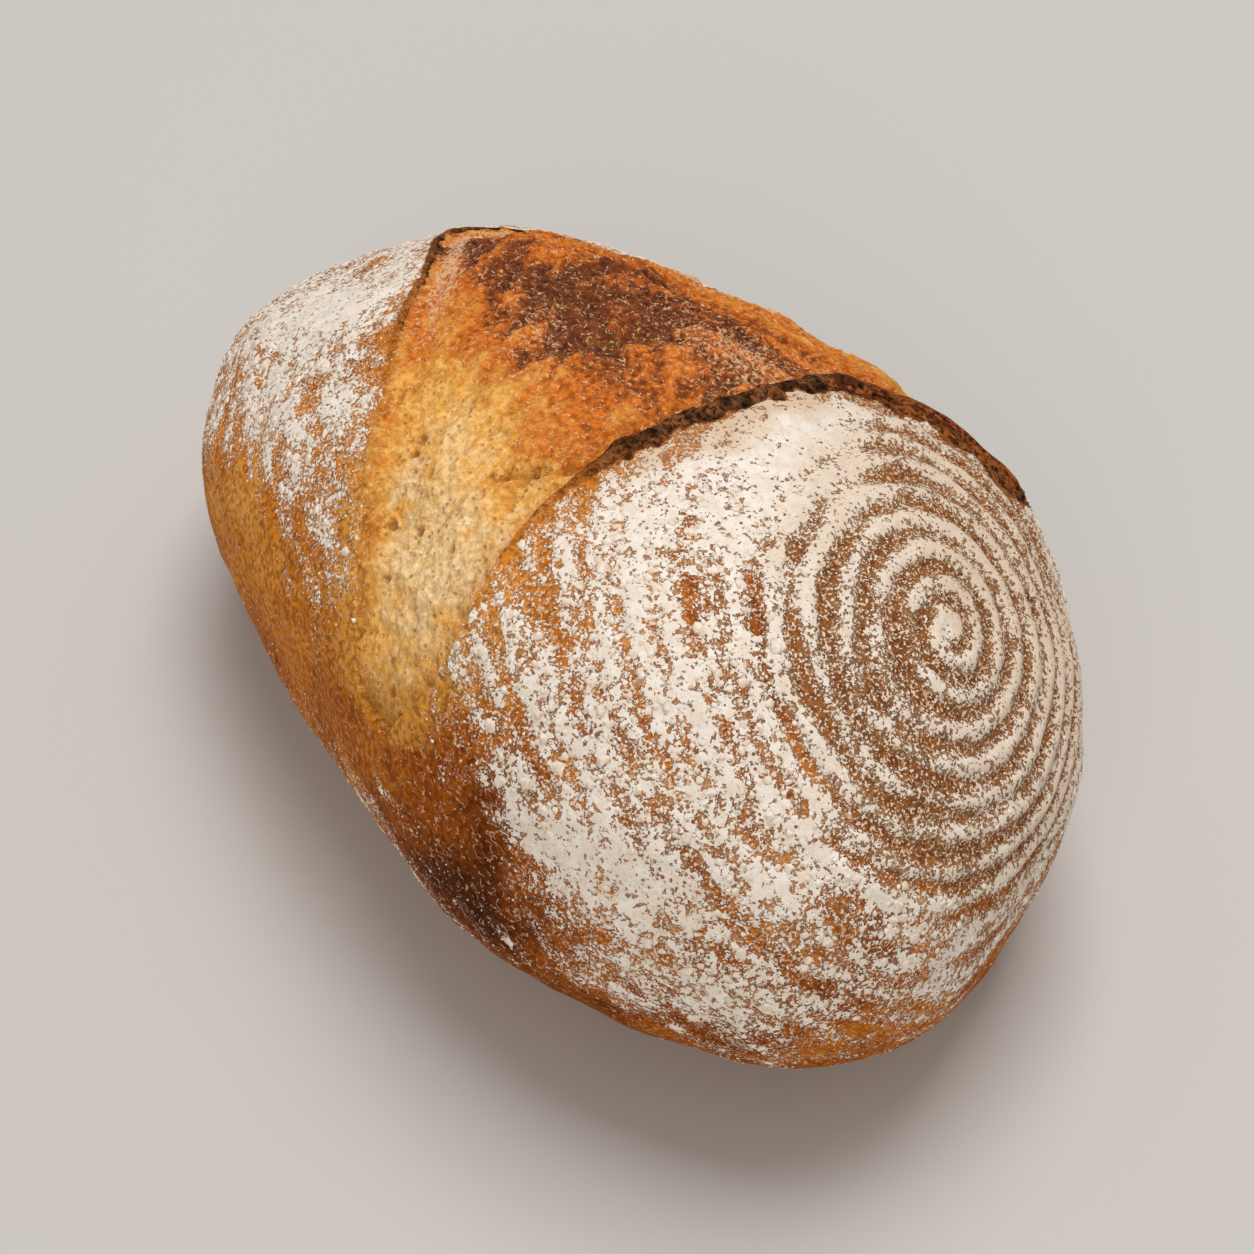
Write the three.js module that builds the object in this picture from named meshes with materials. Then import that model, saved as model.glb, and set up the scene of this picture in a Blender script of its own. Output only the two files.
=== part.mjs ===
// A sourdough loaf: a long loaf, wider at one end, baked free-standing on a flat base.
// One slash runs over its top. The crumb has risen out of it, and the crust beside it has
// lifted into a rough ear. The wide end keeps the rings of the proving basket.
//
// The loaf is thought of as a ball of dough. Each place on it is first a point of a unit
// ball, and dough() moves that point to its place on the stretched loaf. The grid's columns
// run from the far tip, over both lips of the slash, to the middle of the rings.
//
// Units are millimetres. +X is the long axis towards the wide end, +Z is up, and the origin
// is in the middle of the base.

import * as THREE from 'three';

const TURN = 2 * Math.PI;

// ---- driving dimensions of the dough --------------------------------------------------

const LENGTH = 280;
const WIDTH = 173;
const HEIGHT = 120;
const MIDDLE_HEIGHT = 0.381 * HEIGHT;   // the height of the widest section line
const WIDEST_AT = 0.17;                 // shares of the half length, from the middle
const HIGHEST_AT = 0.31;
const WIDE_END_POWER = 2.1;             // 2 is an ellipse, and more is blunter
const FAR_END_POWER = 1.95;
const SECTION_POWER = 2.16;
const UNDER_SHARE = 1.3;                // the underside's depth before it is set down
const UNDER_FADE = 0.6;
const BASE_ROUNDING = 6;                // the soft turn above the flat base
const BASE_PRESS = 0.8;                 // how much of that turn is pressed flat
const BASE_TOUCH = 0.3;
const SIDEWAYS_BEND = -5.4;
const SIDEWAYS_CURL = -2.4;
const LEAN = -0.035;

// Slow swellings and hollows: place along (share of half length), angle round, reach, height.
const SWELLINGS = [
  { name: 'far cheek', along: -0.62, round: 180, reach: 0.35, height: 3.2 },
  { name: 'front waist', along: -0.05, round: 182, reach: 0.3, height: -5.5 },
  { name: 'wide cheek', along: 0.5, round: 185, reach: 0.35, height: 1.1 },
  { name: 'nose', along: 0.95, round: 150, reach: 0.35, height: 4.4 },
  { name: 'far top', along: -0.75, round: 100, reach: 0.35, height: -6.9 },
  { name: 'right shoulder', along: 0.8, round: 20, reach: 0.35, height: -1 },
  { name: 'back shoulder', along: 0.5, round: 20, reach: 0.3, height: 3.2 },
  { name: 'back waist', along: -0.05, round: 52, reach: 0.34, height: -6.5 },
];

// Slow unevenness of the whole surface: wave lengths and heights.
const SLOW_WAVE = 75;
const SLOW_HEIGHT = 0.9;
const QUICK_WAVE = 31;
const QUICK_HEIGHT = 0.35;
const RIPPLE_WAVES = 6;
const RIPPLE_SHORTEST = 0.75;
const RIPPLE_SPREAD = 0.1;
const GOLDEN_TURN = 2.4;
const SEED_SHIFT = 1.7;
const WAVE_SHIFT = 2.1;

// ---- the slash ------------------------------------------------------------------------
// Each list goes along the slash at even steps of angle, from its tip low on the back, over
// the top, to its tip low on the front.

const BACK_TIP = 6;                     // degrees round the long axis from +Y
const FRONT_TIP = 165;
const FAR_LIP = [37, -14, -64, -97, -66, -31, -1, 24];     // place along the loaf
const WIDE_LIP = [49, 59, 33.5, 33.5, 31.5, 34, 41, 32];
const TIP_GAP = 12;                     // the grid keeps this width past the tips
const UNDER_SPREAD = 35;
const BACK_FADE = 0.14;                 // shares of the slash over which it closes
const FRONT_FADE = 0.1;

// Heights over the dough across the risen crumb: by the far lip and in the middle. By the
// ear it is given as the gap below the ear's underside.
const CRUMB_BY_FAR_LIP = [0, -2, -2, -2.6, -2.6, -3, -3, -1];
const CRUMB_MIDDLE = [0, 0, 2, 1.8, 0.8, -2.3, -3.5, -1];
const CRUMB_SHOULDER = [0.1, 0.05, 0.04, 0.05, 0.08, 0.22, 0.4, 0.5];
const EAR_GAP = [1, 1.2, 1.6, 1.6, 1.4, 0.8, 0.4, 0.4];

// Folds torn in the crumb: middle and half length along the slash, place across at the
// middle, slant, depth and half width. A negative depth is a ridge.
const FOLDS = [
  { at: 0.55, half: 0.13, across: 0.6, slant: -1.75, depth: 1.8, width: 3 },
  { at: 0.5, half: 0.09, across: 0.55, slant: -1.6, depth: 1.3, width: 2.4 },
  { at: 0.665, half: 0.035, across: 0.83, slant: -3.4, depth: 1.4, width: 2 },
  { at: 0.43, half: 0.12, across: 0.4, slant: -2.2, depth: -1.2, width: 6 },
];
const CRUMB_WAVE = 26;                  // lumps of the crumb: wave length and height
const CRUMB_LUMPS = 0.5;
const LUMPS_FADE = 0.1;
const SLASH_LENGTH = 210;               // over the top, for the slant of a fold

// The ear on the wide lip, and the thin far lip: the radius of the rolled rim, its lift and
// how far it reaches over the crumb.
const EAR_ROLL = [1, 2.4, 2.4, 2, 1.8, 1, 0.5, 0.5];
const EAR_LIFT = [0, 2.2, 2.4, 1.4, 1.2, 0.5, 0, 0];
const EAR_REACH = [0, 2.4, 2.4, 1.2, 1.4, 0.6, 0, 0];
const EAR_RUN_BACK = 14;                // the lift dies away over this length
const EAR_FROM = -80;                   // degrees round the rim, from below
const EAR_SWEEP = 165;
const EAR_TEAR_WAVE = 11;               // the torn rim's unevenness, as a share of its radius
const EAR_TEAR = 0.15;
const EAR_FRAY_WAVE = 6.5;
const EAR_FRAY = 0.08;
const FAR_ROLL = [0.5, 0.3, 0.4, 1, 1, 0.9, 0.8, 0.8];
const FAR_LIFT = [0, -1.5, -1, 1.2, 1, 0.1, -0.3, 0];
const FAR_RUN_BACK = 9;
const CLOSED_STEP = 0.35;               // row spacing where the slash is shut
const LIP_MARGIN = 0.6;
const LIP_AIM = 0.06;                   // a short way over the slash, to aim across it

// ---- the basket's rings ----------------------------------------------------------------

const RING_CENTRE_AT = 0.737;
const RING_CENTRE_ROUND = 72.5;
const RING_PITCH = 4;                   // degrees over the ball: 8 to 9 mm on the loaf
const RING_HEIGHT = 0.6;
const RING_PHASE = 0.9;
const RINGS_END = 26;                   // degrees from the centre, on the top and front
const RINGS_END_RIGHT = 42;             // and on the right side, where they go further
const RINGS_RIGHT = 70;                 // the bearing of that side
const RINGS_FADE = 0.25;
const RING_EYE = 0.05;

// ---- the grid -------------------------------------------------------------------------

const COLUMNS = 76;
const TOP_CROWDING = 0.45;              // more columns over the top than under the base
const FAR_ROWS = 12;
const FAR_ROW_POWER = 1.3;
const LIP_ROWS = 2;
const CRUMB_ROWS = 14;
const EAR_ROWS = 5;
const SHOULDER_ROWS = 12;
const RING_ROWS = 32;
const RING_ZONE_SHARE = 0.85;           // at most, of the way from the rings to the lip
const MM_PER_BALL = 110;                // a mean radius, to turn ball angles into lengths

// ---- small helpers ----------------------------------------------------------------------

const degrees = THREE.MathUtils.degToRad;
const sum = (values) => values.reduce((total, value) => total + value, 0);

// A cubic ease from 0 at low to 1 at high.
function ease(low, high, value) {
  const t = THREE.MathUtils.clamp((value - low) / (high - low), 0, 1);
  return t * t * (3 - 2 * t);
}

// A smooth curve (Catmull-Rom) through evenly spaced values, read at a share from 0 to 1.
function along(values, share) {
  const last = values.length - 1;
  const place = THREE.MathUtils.clamp(share, 0, 1) * last;
  const index = Math.min(Math.floor(place), last - 1);
  const t = place - index;
  const at = (step) => values[THREE.MathUtils.clamp(index + step, 0, last)];
  const [a, b, c, d] = [at(-1), at(0), at(1), at(2)];
  const square = (2 * a - 5 * b + 4 * c - d) * t * t;
  const cube = (3 * b - a - 3 * c + d) * t * t * t;
  return 0.5 * (2 * b + (c - a) * t + square + cube);
}

const power = (value, exponent) => Math.sign(value) * Math.abs(value) ** exponent;

// ---- from the ball to the loaf ------------------------------------------------------------

// The ball's point at a share of the half length and an angle round the long axis.
function ballPoint(share, turn) {
  const ring = Math.sqrt(Math.max(1 - share * share, 0));
  return new THREE.Vector3(share, ring * Math.cos(turn), ring * Math.sin(turn));
}

// The half width of an egg of length 2, as a share of its widest, with its own blunt ends.
function egg(share, peak) {
  const wideEnd = share > peak;
  const reach = wideEnd ? 1 - peak : 1 + peak;
  const exponent = wideEnd ? WIDE_END_POWER : FAR_END_POWER;
  return Math.max(1 - Math.abs((share - peak) / reach) ** exponent, 0) ** (1 / exponent);
}

const swellings = SWELLINGS.map((swelling) => ({
  centre: ballPoint(swelling.along, degrees(swelling.round)),
  reach: swelling.reach,
  height: swelling.height,
}));

// The stretched loaf: an egg from above and from the side, with a squarish section, bent a
// little, and swollen or hollowed in a few places.
function dough(ball) {
  const share = THREE.MathUtils.clamp(ball.x, -1, 1);
  const ring = Math.sqrt(Math.max(1 - share * share, 1e-12));
  const cosine = THREE.MathUtils.clamp(ball.y / ring, -1, 1);
  const sine = THREE.MathUtils.clamp(ball.z / ring, -1, 1);
  const halfWidth = (WIDTH / 2) * egg(share, WIDEST_AT);
  const upwards = (HEIGHT - MIDDLE_HEIGHT) * egg(share, HIGHEST_AT);
  const downwards = MIDDLE_HEIGHT * UNDER_SHARE * egg(share, WIDEST_AT) ** UNDER_FADE;
  const rise = sine > 0
    ? upwards * sine ** (2 / SECTION_POWER) * (1 + LEAN * cosine * sine)
    : -downwards * Math.abs(sine);
  const place = new THREE.Vector3(
    (share * LENGTH) / 2,
    halfWidth * power(cosine, 2 / SECTION_POWER) + SIDEWAYS_BEND * share ** 2 + SIDEWAYS_CURL * share ** 3,
    MIDDLE_HEIGHT + rise,
  );
  for (const { centre, reach, height } of swellings) {
    const distance = ball.distanceToSquared(centre);
    place.addScaledVector(ball, height * Math.exp(-distance / reach ** 2));
  }
  return place;
}

// The way out of the dough at a ball point, from two short steps over the ball.
function outward(ball) {
  const step = 0.02;
  const aside = new THREE.Vector3(0.31, 0.95, 0.05);    // no ball point in use lies along it
  const first = new THREE.Vector3().crossVectors(ball, aside).normalize();
  const second = new THREE.Vector3().crossVectors(ball, first);
  const moved = (way, size) => dough(ball.clone().addScaledVector(way, size).normalize());
  const acrossFirst = moved(first, step).sub(moved(first, -step));
  const acrossSecond = moved(second, step).sub(moved(second, -step));
  return acrossFirst.cross(acrossSecond).normalize();
}

// A point on the great circle between two ball points.
function between(from, to, share) {
  const whole = from.angleTo(to);
  const start = Math.sin((1 - share) * whole) / Math.sin(whole);
  const end = Math.sin(share * whole) / Math.sin(whole);
  return from.clone().multiplyScalar(start).addScaledVector(to, end);
}

// Slow unevenness: sine waves that run in directions spread over the ball (a Fibonacci
// spiral), each a little longer than the last. The seed turns and shifts them.
function ripple(place, waveLength, seed) {
  const waves = [...Array(RIPPLE_WAVES).keys()].map((index) => {
    const height = 1 - (2 * index + 1) / RIPPLE_WAVES;
    const ring = Math.sqrt(1 - height * height);
    const turn = GOLDEN_TURN * index + seed;
    const way = new THREE.Vector3(ring * Math.cos(turn), ring * Math.sin(turn), height);
    const length = waveLength * (RIPPLE_SHORTEST + RIPPLE_SPREAD * index);
    const shift = SEED_SHIFT * seed + WAVE_SHIFT * index;
    return Math.sin((TURN * place.dot(way)) / length + shift);
  });
  return sum(waves) / Math.sqrt(RIPPLE_WAVES);
}

function uneven(place) {
  return SLOW_HEIGHT * ripple(place, SLOW_WAVE, 1) + QUICK_HEIGHT * ripple(place, QUICK_WAVE, 2);
}

// ---- the slash, column by column -----------------------------------------------------------

const farTip = ballPoint(-1, 0);
const ringCentre = ballPoint(RING_CENTRE_AT, degrees(RING_CENTRE_ROUND));

// Half the width between two lips. It never shrinks to nothing, so the grid stays even.
const halfBetween = (farLip, wideLip) => Math.hypot(Math.max((wideLip - farLip) / 2, 0), TIP_GAP / 2);

// What one column needs to know: where it crosses both lips, and how open the slash is there.
function makeColumn(turn) {
  const angle = THREE.MathUtils.euclideanModulo(THREE.MathUtils.radToDeg(turn), 360);
  const rawShare = (angle - BACK_TIP) / (FRONT_TIP - BACK_TIP);
  const inside = rawShare >= 0 && rawShare <= 1;
  const share = THREE.MathUtils.clamp(rawShare, 0, 1);
  const past = THREE.MathUtils.euclideanModulo(angle - FRONT_TIP, 360) / (360 - FRONT_TIP + BACK_TIP);
  const tipMiddles = [(FAR_LIP.at(-1) + WIDE_LIP.at(-1)) / 2, (FAR_LIP[0] + WIDE_LIP[0]) / 2];
  const tipHalves = [halfBetween(FAR_LIP.at(-1), WIDE_LIP.at(-1)), halfBetween(FAR_LIP[0], WIDE_LIP[0])];
  const middle = inside ? (along(WIDE_LIP, share) + along(FAR_LIP, share)) / 2 : along(tipMiddles, past);
  const half = inside
    ? halfBetween(along(FAR_LIP, share), along(WIDE_LIP, share))
    : along(tipHalves, past) + UNDER_SPREAD * Math.sin(Math.PI * past) ** 2;
  const farLip = ballPoint((middle - half) / (LENGTH / 2), turn);
  const wideLip = ballPoint((middle + half) / (LENGTH / 2), turn);
  return {
    share,
    open: inside ? ease(0, BACK_FADE, share) * ease(0, FRONT_FADE, 1 - share) : 0,
    farLip,
    wideLip,
    width: farLip.angleTo(wideLip) * MM_PER_BALL,
  };
}

const crumbByEar = (share) => along(EAR_LIFT, share) - 2 * along(EAR_ROLL, share) - along(EAR_GAP, share);

// The crumb's height over the dough: a parabola through its three named heights, with a soft
// shoulder by the far lip and the torn folds.
function crumbHeight(column, across, place) {
  const { share, open, width } = column;
  const byFarLip = along(CRUMB_BY_FAR_LIP, share) * (1 - across) * (1 - 2 * across);
  const middle = along(CRUMB_MIDDLE, share) * 4 * across * (1 - across);
  const byEar = crumbByEar(share) * across * (2 * across - 1);
  const shoulder = ease(-0.01, 1, across / along(CRUMB_SHOULDER, share));
  const folds = FOLDS.map((fold) => {
    const line = fold.across + fold.slant * (share - fold.at);
    const slope = (fold.slant * width) / SLASH_LENGTH;
    const distance = ((across - line) * width) / Math.hypot(1, slope);
    const run = ease(fold.half, 0.5 * fold.half, Math.abs(share - fold.at));
    return fold.depth * Math.exp(-((distance / fold.width) ** 2)) * run;
  });
  const edges = ease(0, LUMPS_FADE, across) * ease(0, LUMPS_FADE, 1 - across);
  const lumps = CRUMB_LUMPS * ripple(place, CRUMB_WAVE, 3) * edges;
  return ((byFarLip + middle + byEar) * shoulder - sum(folds) + lumps) * open;
}

// ---- the rings -----------------------------------------------------------------------------

// The bearing of a ball point from the middle of the rings.
function bearing(ball) {
  const ahead = new THREE.Vector3(1, 0, 0);
  ahead.addScaledVector(ringCentre, -ringCentre.x).normalize();
  const aside = new THREE.Vector3().crossVectors(ringCentre, ahead);
  return Math.atan2(ball.dot(aside), ball.dot(ahead));
}

// How far from their middle the rings reach, in radians over the ball.
function ringsEnd(heading) {
  const right = 0.5 + 0.5 * Math.cos(heading - degrees(RINGS_RIGHT));
  return degrees(RINGS_END + (RINGS_END_RIGHT - RINGS_END) * right);
}

// A spiral wave, as coiled cane leaves it: one pitch further out for each turn.
function ringHeight(ball, distance) {
  const heading = bearing(ball);
  const end = ringsEnd(heading);
  const fade = ease(end, end * (1 - RINGS_FADE), distance) * ease(0, RING_EYE, distance);
  const turns = distance / degrees(RING_PITCH) - heading / TURN;
  return RING_HEIGHT * Math.cos(TURN * (turns - RING_PHASE)) * fade;
}

// ---- rows ---------------------------------------------------------------------------------

// A place on a lip, moved out along its normal and over the slash by two lengths.
function fromLip(lip, towards, out, over) {
  const place = dough(lip);
  const across = dough(towards).sub(place).normalize();
  return place.clone().addScaledVector(outward(lip), out + uneven(place)).addScaledVector(across, over);
}

function raised(ball, height) {
  const place = dough(ball);
  return place.clone().addScaledVector(outward(ball), height + uneven(place));
}

function farCrust(column) {
  const lift = along(FAR_LIFT, column.share) * column.open;
  return [...Array(FAR_ROWS).keys()].map((row) => {
    const ball = between(farTip, column.farLip, 1 - (1 - (row + 1) / FAR_ROWS) ** FAR_ROW_POWER);
    const distance = ball.angleTo(column.farLip) * MM_PER_BALL;
    return raised(ball, lift * Math.exp(-distance / FAR_RUN_BACK));
  });
}

function farLipRoll(column) {
  const { share, open, farLip, wideLip } = column;
  const radius = along(FAR_ROLL, share);
  const towards = between(farLip, wideLip, LIP_AIM);
  return [...Array(LIP_ROWS).keys()].map((row) => {
    const turn = ((row + 1) / LIP_ROWS) * (Math.PI / 2);
    const out = (along(FAR_LIFT, share) - radius * (1 - Math.cos(turn))) * open;
    const over = radius * Math.sin(turn) * open + CLOSED_STEP * (row + 1) * (1 - open);
    return fromLip(farLip, towards, out, over);
  });
}

function risenCrumb(column) {
  const closedEar = CLOSED_STEP * (EAR_ROWS + 2);
  const closedLip = CLOSED_STEP * (LIP_ROWS + 1);
  const low = (closedLip + LIP_MARGIN) / column.width;
  const high = 1 - (closedEar + LIP_MARGIN) / column.width;
  return [...Array(CRUMB_ROWS).keys()].map((row) => {
    const across = low + (high - low) * (row / (CRUMB_ROWS - 1));
    const ball = between(column.farLip, column.wideLip, across);
    return raised(ball, crumbHeight(column, across, dough(ball)));
  });
}

// The ear: from under its rim, round the torn edge, to its floured top.
function ear(column) {
  const { share, open, farLip, wideLip } = column;
  const towards = between(farLip, wideLip, 1 - LIP_AIM);
  const place = dough(wideLip);
  const torn = EAR_TEAR * ripple(place, EAR_TEAR_WAVE, 5) + EAR_FRAY * ripple(place, EAR_FRAY_WAVE, 6);
  const under = fromLip(
    wideLip,
    towards,
    (crumbByEar(share) + LIP_MARGIN) * open,
    LIP_MARGIN * open + CLOSED_STEP * (EAR_ROWS + 1) * (1 - open),
  );
  const rim = [...Array(EAR_ROWS).keys()].map((row) => {
    const step = row / (EAR_ROWS - 1);
    const turn = degrees(EAR_FROM + EAR_SWEEP * step);
    const roll = along(EAR_ROLL, share);
    const radius = roll * (1 + torn * Math.sin(Math.PI * step));
    const out = (along(EAR_LIFT, share) - roll + radius * Math.sin(turn)) * open;
    const over = (along(EAR_REACH, share) + radius * Math.cos(turn)) * open;
    return fromLip(wideLip, towards, out, over + CLOSED_STEP * (EAR_ROWS - row) * (1 - open));
  });
  return [under, ...rim];
}

function wideCrust(column) {
  const lift = along(EAR_LIFT, column.share) * column.open;
  const whole = column.wideLip.angleTo(ringCentre);
  const zone = Math.min(ringsEnd(bearing(column.wideLip)), whole * RING_ZONE_SHARE);
  const shoulder = [...Array(SHOULDER_ROWS).keys()].map((row) => (
    whole + (zone - whole) * (row / (SHOULDER_ROWS - 1))
  ));
  const rings = [...Array(RING_ROWS).keys()].map((row) => zone * (1 - (row + 1) / (RING_ROWS + 1)));
  return [...shoulder, ...rings].map((distance) => {
    const ball = between(ringCentre, column.wideLip, distance / whole);
    const fromEdge = ball.angleTo(column.wideLip) * MM_PER_BALL;
    return raised(ball, lift * Math.exp(-fromEdge / EAR_RUN_BACK) + ringHeight(ball, distance));
  });
}

// The loaf is set down: a soft turn towards the oven floor, then pressed flat on it. What
// is left almost touching touches too, so that the base has one clear edge to stand on.
function settle(place) {
  const height = place.z + BASE_PRESS;
  const nearness = Math.max(BASE_ROUNDING - Math.abs(height), 0) / BASE_ROUNDING;
  const soft = Math.max(height, 0) + (nearness ** 2 * BASE_ROUNDING) / 4;
  const pressed = soft - BASE_PRESS;
  place.z = pressed < BASE_TOUCH ? 0 : pressed;
  return place;
}

// ---- the solid -----------------------------------------------------------------------------

function columnTurns() {
  const turns = [...Array(COLUMNS).keys()].map((index) => {
    const even = (TURN * index) / COLUMNS;
    return THREE.MathUtils.euclideanModulo(even + TOP_CROWDING * Math.cos(even), TURN);
  });
  return turns.sort((first, second) => first - second);
}

function makeLoafGeometry() {
  const columns = columnTurns().map(makeColumn).map((column) => [
    ...farCrust(column),
    ...farLipRoll(column),
    ...risenCrumb(column),
    ...ear(column),
    ...wideCrust(column),
  ]);
  const rows = columns[0].length;
  const farEnd = raised(farTip, 0);
  const ringEnd = raised(ringCentre, 0);
  const vertices = [...columns.flat(), farEnd, ringEnd].map(settle);
  const at = (column, row) => (column % COLUMNS) * rows + row;
  const farIndex = vertices.length - 2;
  const ringIndex = vertices.length - 1;
  const triangles = [];
  for (let column = 0; column < COLUMNS; column += 1) {
    triangles.push(farIndex, at(column + 1, 0), at(column, 0));
    for (let row = 0; row < rows - 1; row += 1) {
      const corner = at(column, row);
      const opposite = at(column + 1, row + 1);
      triangles.push(corner, at(column + 1, row), opposite);
      triangles.push(corner, opposite, at(column, row + 1));
    }
    triangles.push(ringIndex, at(column, rows - 1), at(column + 1, rows - 1));
  }
  const geometry = new THREE.BufferGeometry();
  const positions = vertices.flatMap((vertex) => vertex.toArray());
  geometry.setAttribute('position', new THREE.Float32BufferAttribute(positions, 3));
  geometry.setIndex(triangles);
  geometry.computeBoundingBox();
  const middle = geometry.boundingBox.getCenter(new THREE.Vector3());
  geometry.translate(-middle.x, -middle.y, 0);
  geometry.computeVertexNormals();
  return geometry;
}

const crust = new THREE.MeshStandardMaterial({ color: 0xb98a5c, roughness: 0.85, metalness: 0 });
const loaf = new THREE.Mesh(makeLoafGeometry(), crust);
loaf.name = 'loaf';

const group = new THREE.Group();
group.add(loaf);

export default group;
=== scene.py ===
# %% [markdown]
# # A sourdough loaf
#
# This lesson dresses a plain solid loaf with the surfaces of the real one. The real loaf is
# one piece of dough, but it shows two skins: the crust, which the oven dried, browned and left
# floured, and the crumb, which burst through the slash late and stayed soft and golden.
# So the loaf is made as two closed surfaces that meet under the lips of the slash. The loose
# flour that stands on the crust makes two more pieces, one of flakes and one of grains.

import bpy
import numpy as np
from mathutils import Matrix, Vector


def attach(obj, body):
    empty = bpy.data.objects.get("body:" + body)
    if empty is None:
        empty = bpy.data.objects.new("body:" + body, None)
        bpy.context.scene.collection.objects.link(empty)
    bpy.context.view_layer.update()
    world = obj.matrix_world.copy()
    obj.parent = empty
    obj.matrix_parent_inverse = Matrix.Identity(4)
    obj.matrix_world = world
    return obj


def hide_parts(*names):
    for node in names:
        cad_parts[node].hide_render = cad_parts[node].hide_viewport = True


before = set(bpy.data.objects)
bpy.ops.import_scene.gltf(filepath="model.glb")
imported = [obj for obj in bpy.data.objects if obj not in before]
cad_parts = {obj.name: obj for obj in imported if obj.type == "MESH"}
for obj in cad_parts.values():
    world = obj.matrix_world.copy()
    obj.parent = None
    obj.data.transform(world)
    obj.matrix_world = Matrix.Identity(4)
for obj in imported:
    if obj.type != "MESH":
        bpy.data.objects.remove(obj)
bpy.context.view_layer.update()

# %% [markdown]
# ## The camera
#
# The camera comes first, because everything else is judged through it. It looks down on the
# loaf from the wide end's front, from a little over half a metre, as someone at a counter does.

# %% The camera
TURN = 2 * np.pi
VIEW_AROUND = np.radians(55)
VIEW_ABOVE = np.radians(45)
VIEW_DISTANCE = 0.6
VIEW_TARGET = Vector((0.0099, -0.0029, 0.04))
FRAME_PIXELS = 1254
FOCAL_PIXELS = 2409
VIEW_ANGLE = 2 * np.arctan(FRAME_PIXELS / 2 / FOCAL_PIXELS)


def direction(around, above):
    """The unit vector that points away from the loaf: around from -Y towards +X, and above."""
    flat = np.cos(above)
    return Vector((np.sin(around) * flat, -np.cos(around) * flat, np.sin(above)))


def look_at(thing, place, target):
    """Puts an object at a place and turns its -Z axis to the target, with +Y up."""
    thing.location = place
    thing.rotation_euler = (Vector(target) - Vector(place)).to_track_quat("-Z", "Y").to_euler()


camera_data = bpy.data.cameras.new("counter_camera")
camera_data.angle = VIEW_ANGLE
camera_data.clip_start = 0.01
camera = bpy.data.objects.new("counter_camera", camera_data)
bpy.context.scene.collection.objects.link(camera)
look_at(camera, VIEW_TARGET + VIEW_DISTANCE * direction(VIEW_AROUND, VIEW_ABOVE), VIEW_TARGET)
bpy.context.scene.camera = camera
print("the camera stands at", tuple(round(value, 3) for value in camera.location))

# %% [markdown]
# ## The floor and the light
#
# A pale plain floor and one large soft light from above and behind make soft shading, with a
# shadow at the near side. A weak warm light from the front and a pale sky open the shadows.

# %% The floor and the light
FLOOR_SIZE = 6.0
FLOOR_COLOUR = (0.55, 0.53, 0.51, 1)
FLOOR_ROUGHNESS = 0.7
LIGHT_DISTANCE = 2.6
LIGHT_TARGET = Vector((0, 0, 0.06))
AIR_COLOUR = (1.0, 0.965, 0.92, 1)
AIR_STRENGTH = 0.30

# around and above in degrees, width in metres, power in watts, colour
LIGHTS = {
    "window": (215, 72, 1.5, 52, (1.0, 0.99, 0.975)),
    "fill": (45, 28, 1.8, 26, (1.0, 0.95, 0.88)),
}


def make_floor():
    """A square of one face at height 0."""
    half = FLOOR_SIZE / 2
    mesh = bpy.data.meshes.new("floor")
    corners = [(-half, -half, 0), (half, -half, 0), (half, half, 0), (-half, half, 0)]
    mesh.from_pydata(corners, [], [(0, 1, 2, 3)])
    floor = bpy.data.objects.new("floor", mesh)
    bpy.context.scene.collection.objects.link(floor)
    material = bpy.data.materials.new("pale_counter")
    material.use_nodes = True
    shader = material.node_tree.nodes["Principled BSDF"]
    shader.inputs["Base Color"].default_value = FLOOR_COLOUR
    shader.inputs["Roughness"].default_value = FLOOR_ROUGHNESS
    mesh.materials.append(material)


def make_light(name, around, above, size, power, colour):
    """A square soft light that looks at the loaf from a direction."""
    data = bpy.data.lights.new(name, "AREA")
    data.size = size
    data.energy = power
    data.color = colour
    light = bpy.data.objects.new(name, data)
    bpy.context.scene.collection.objects.link(light)
    away = direction(np.radians(around), np.radians(above))
    look_at(light, LIGHT_TARGET + LIGHT_DISTANCE * away, LIGHT_TARGET)


make_floor()
for name, settings in LIGHTS.items():
    make_light(name, *settings)
world = bpy.data.worlds.new("studio")
world.use_nodes = True
background = world.node_tree.nodes["Background"]
background.inputs["Color"].default_value = AIR_COLOUR
background.inputs["Strength"].default_value = AIR_STRENGTH
bpy.context.scene.world = world
bpy.context.scene.view_settings.view_transform = "Standard"
print("the floor is", FLOOR_SIZE, "m wide, and", len(bpy.data.lights), "lights look at the loaf")

# %% [markdown]
# ## The ball of dough
#
# A loaf could be sculpted by hand, but a formula can be read and changed. Each place on the
# loaf starts as a point of a unit ball: its share of the half length, and its angle round the
# long axis. The function dough() stretches the ball to the loaf, and everything else, from the
# slash to the flour, is drawn on the ball first. Sizes here are millimetres, and +X runs
# towards the wide end.

# %% Sizes of the dough
MM = 0.001
LENGTH = 280.0
WIDTH = 173.0
HEIGHT = 120.0
MIDDLE_HEIGHT = 0.381 * HEIGHT
WIDEST_AT = 0.17
HIGHEST_AT = 0.31
WIDE_END_POWER = 2.1
FAR_END_POWER = 1.95
SECTION_POWER = 2.16
UNDER_SHARE = 1.3
UNDER_FADE = 0.6
BASE_ROUNDING = 6.0
BASE_PRESS = 0.8
BASE_TOUCH = 0.3
SIDEWAYS_BEND = -5.4
SIDEWAYS_CURL = -2.4
LEAN = -0.035
DOUGH_MIDDLE = np.array([1.6, 0.42, 0.0])

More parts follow.
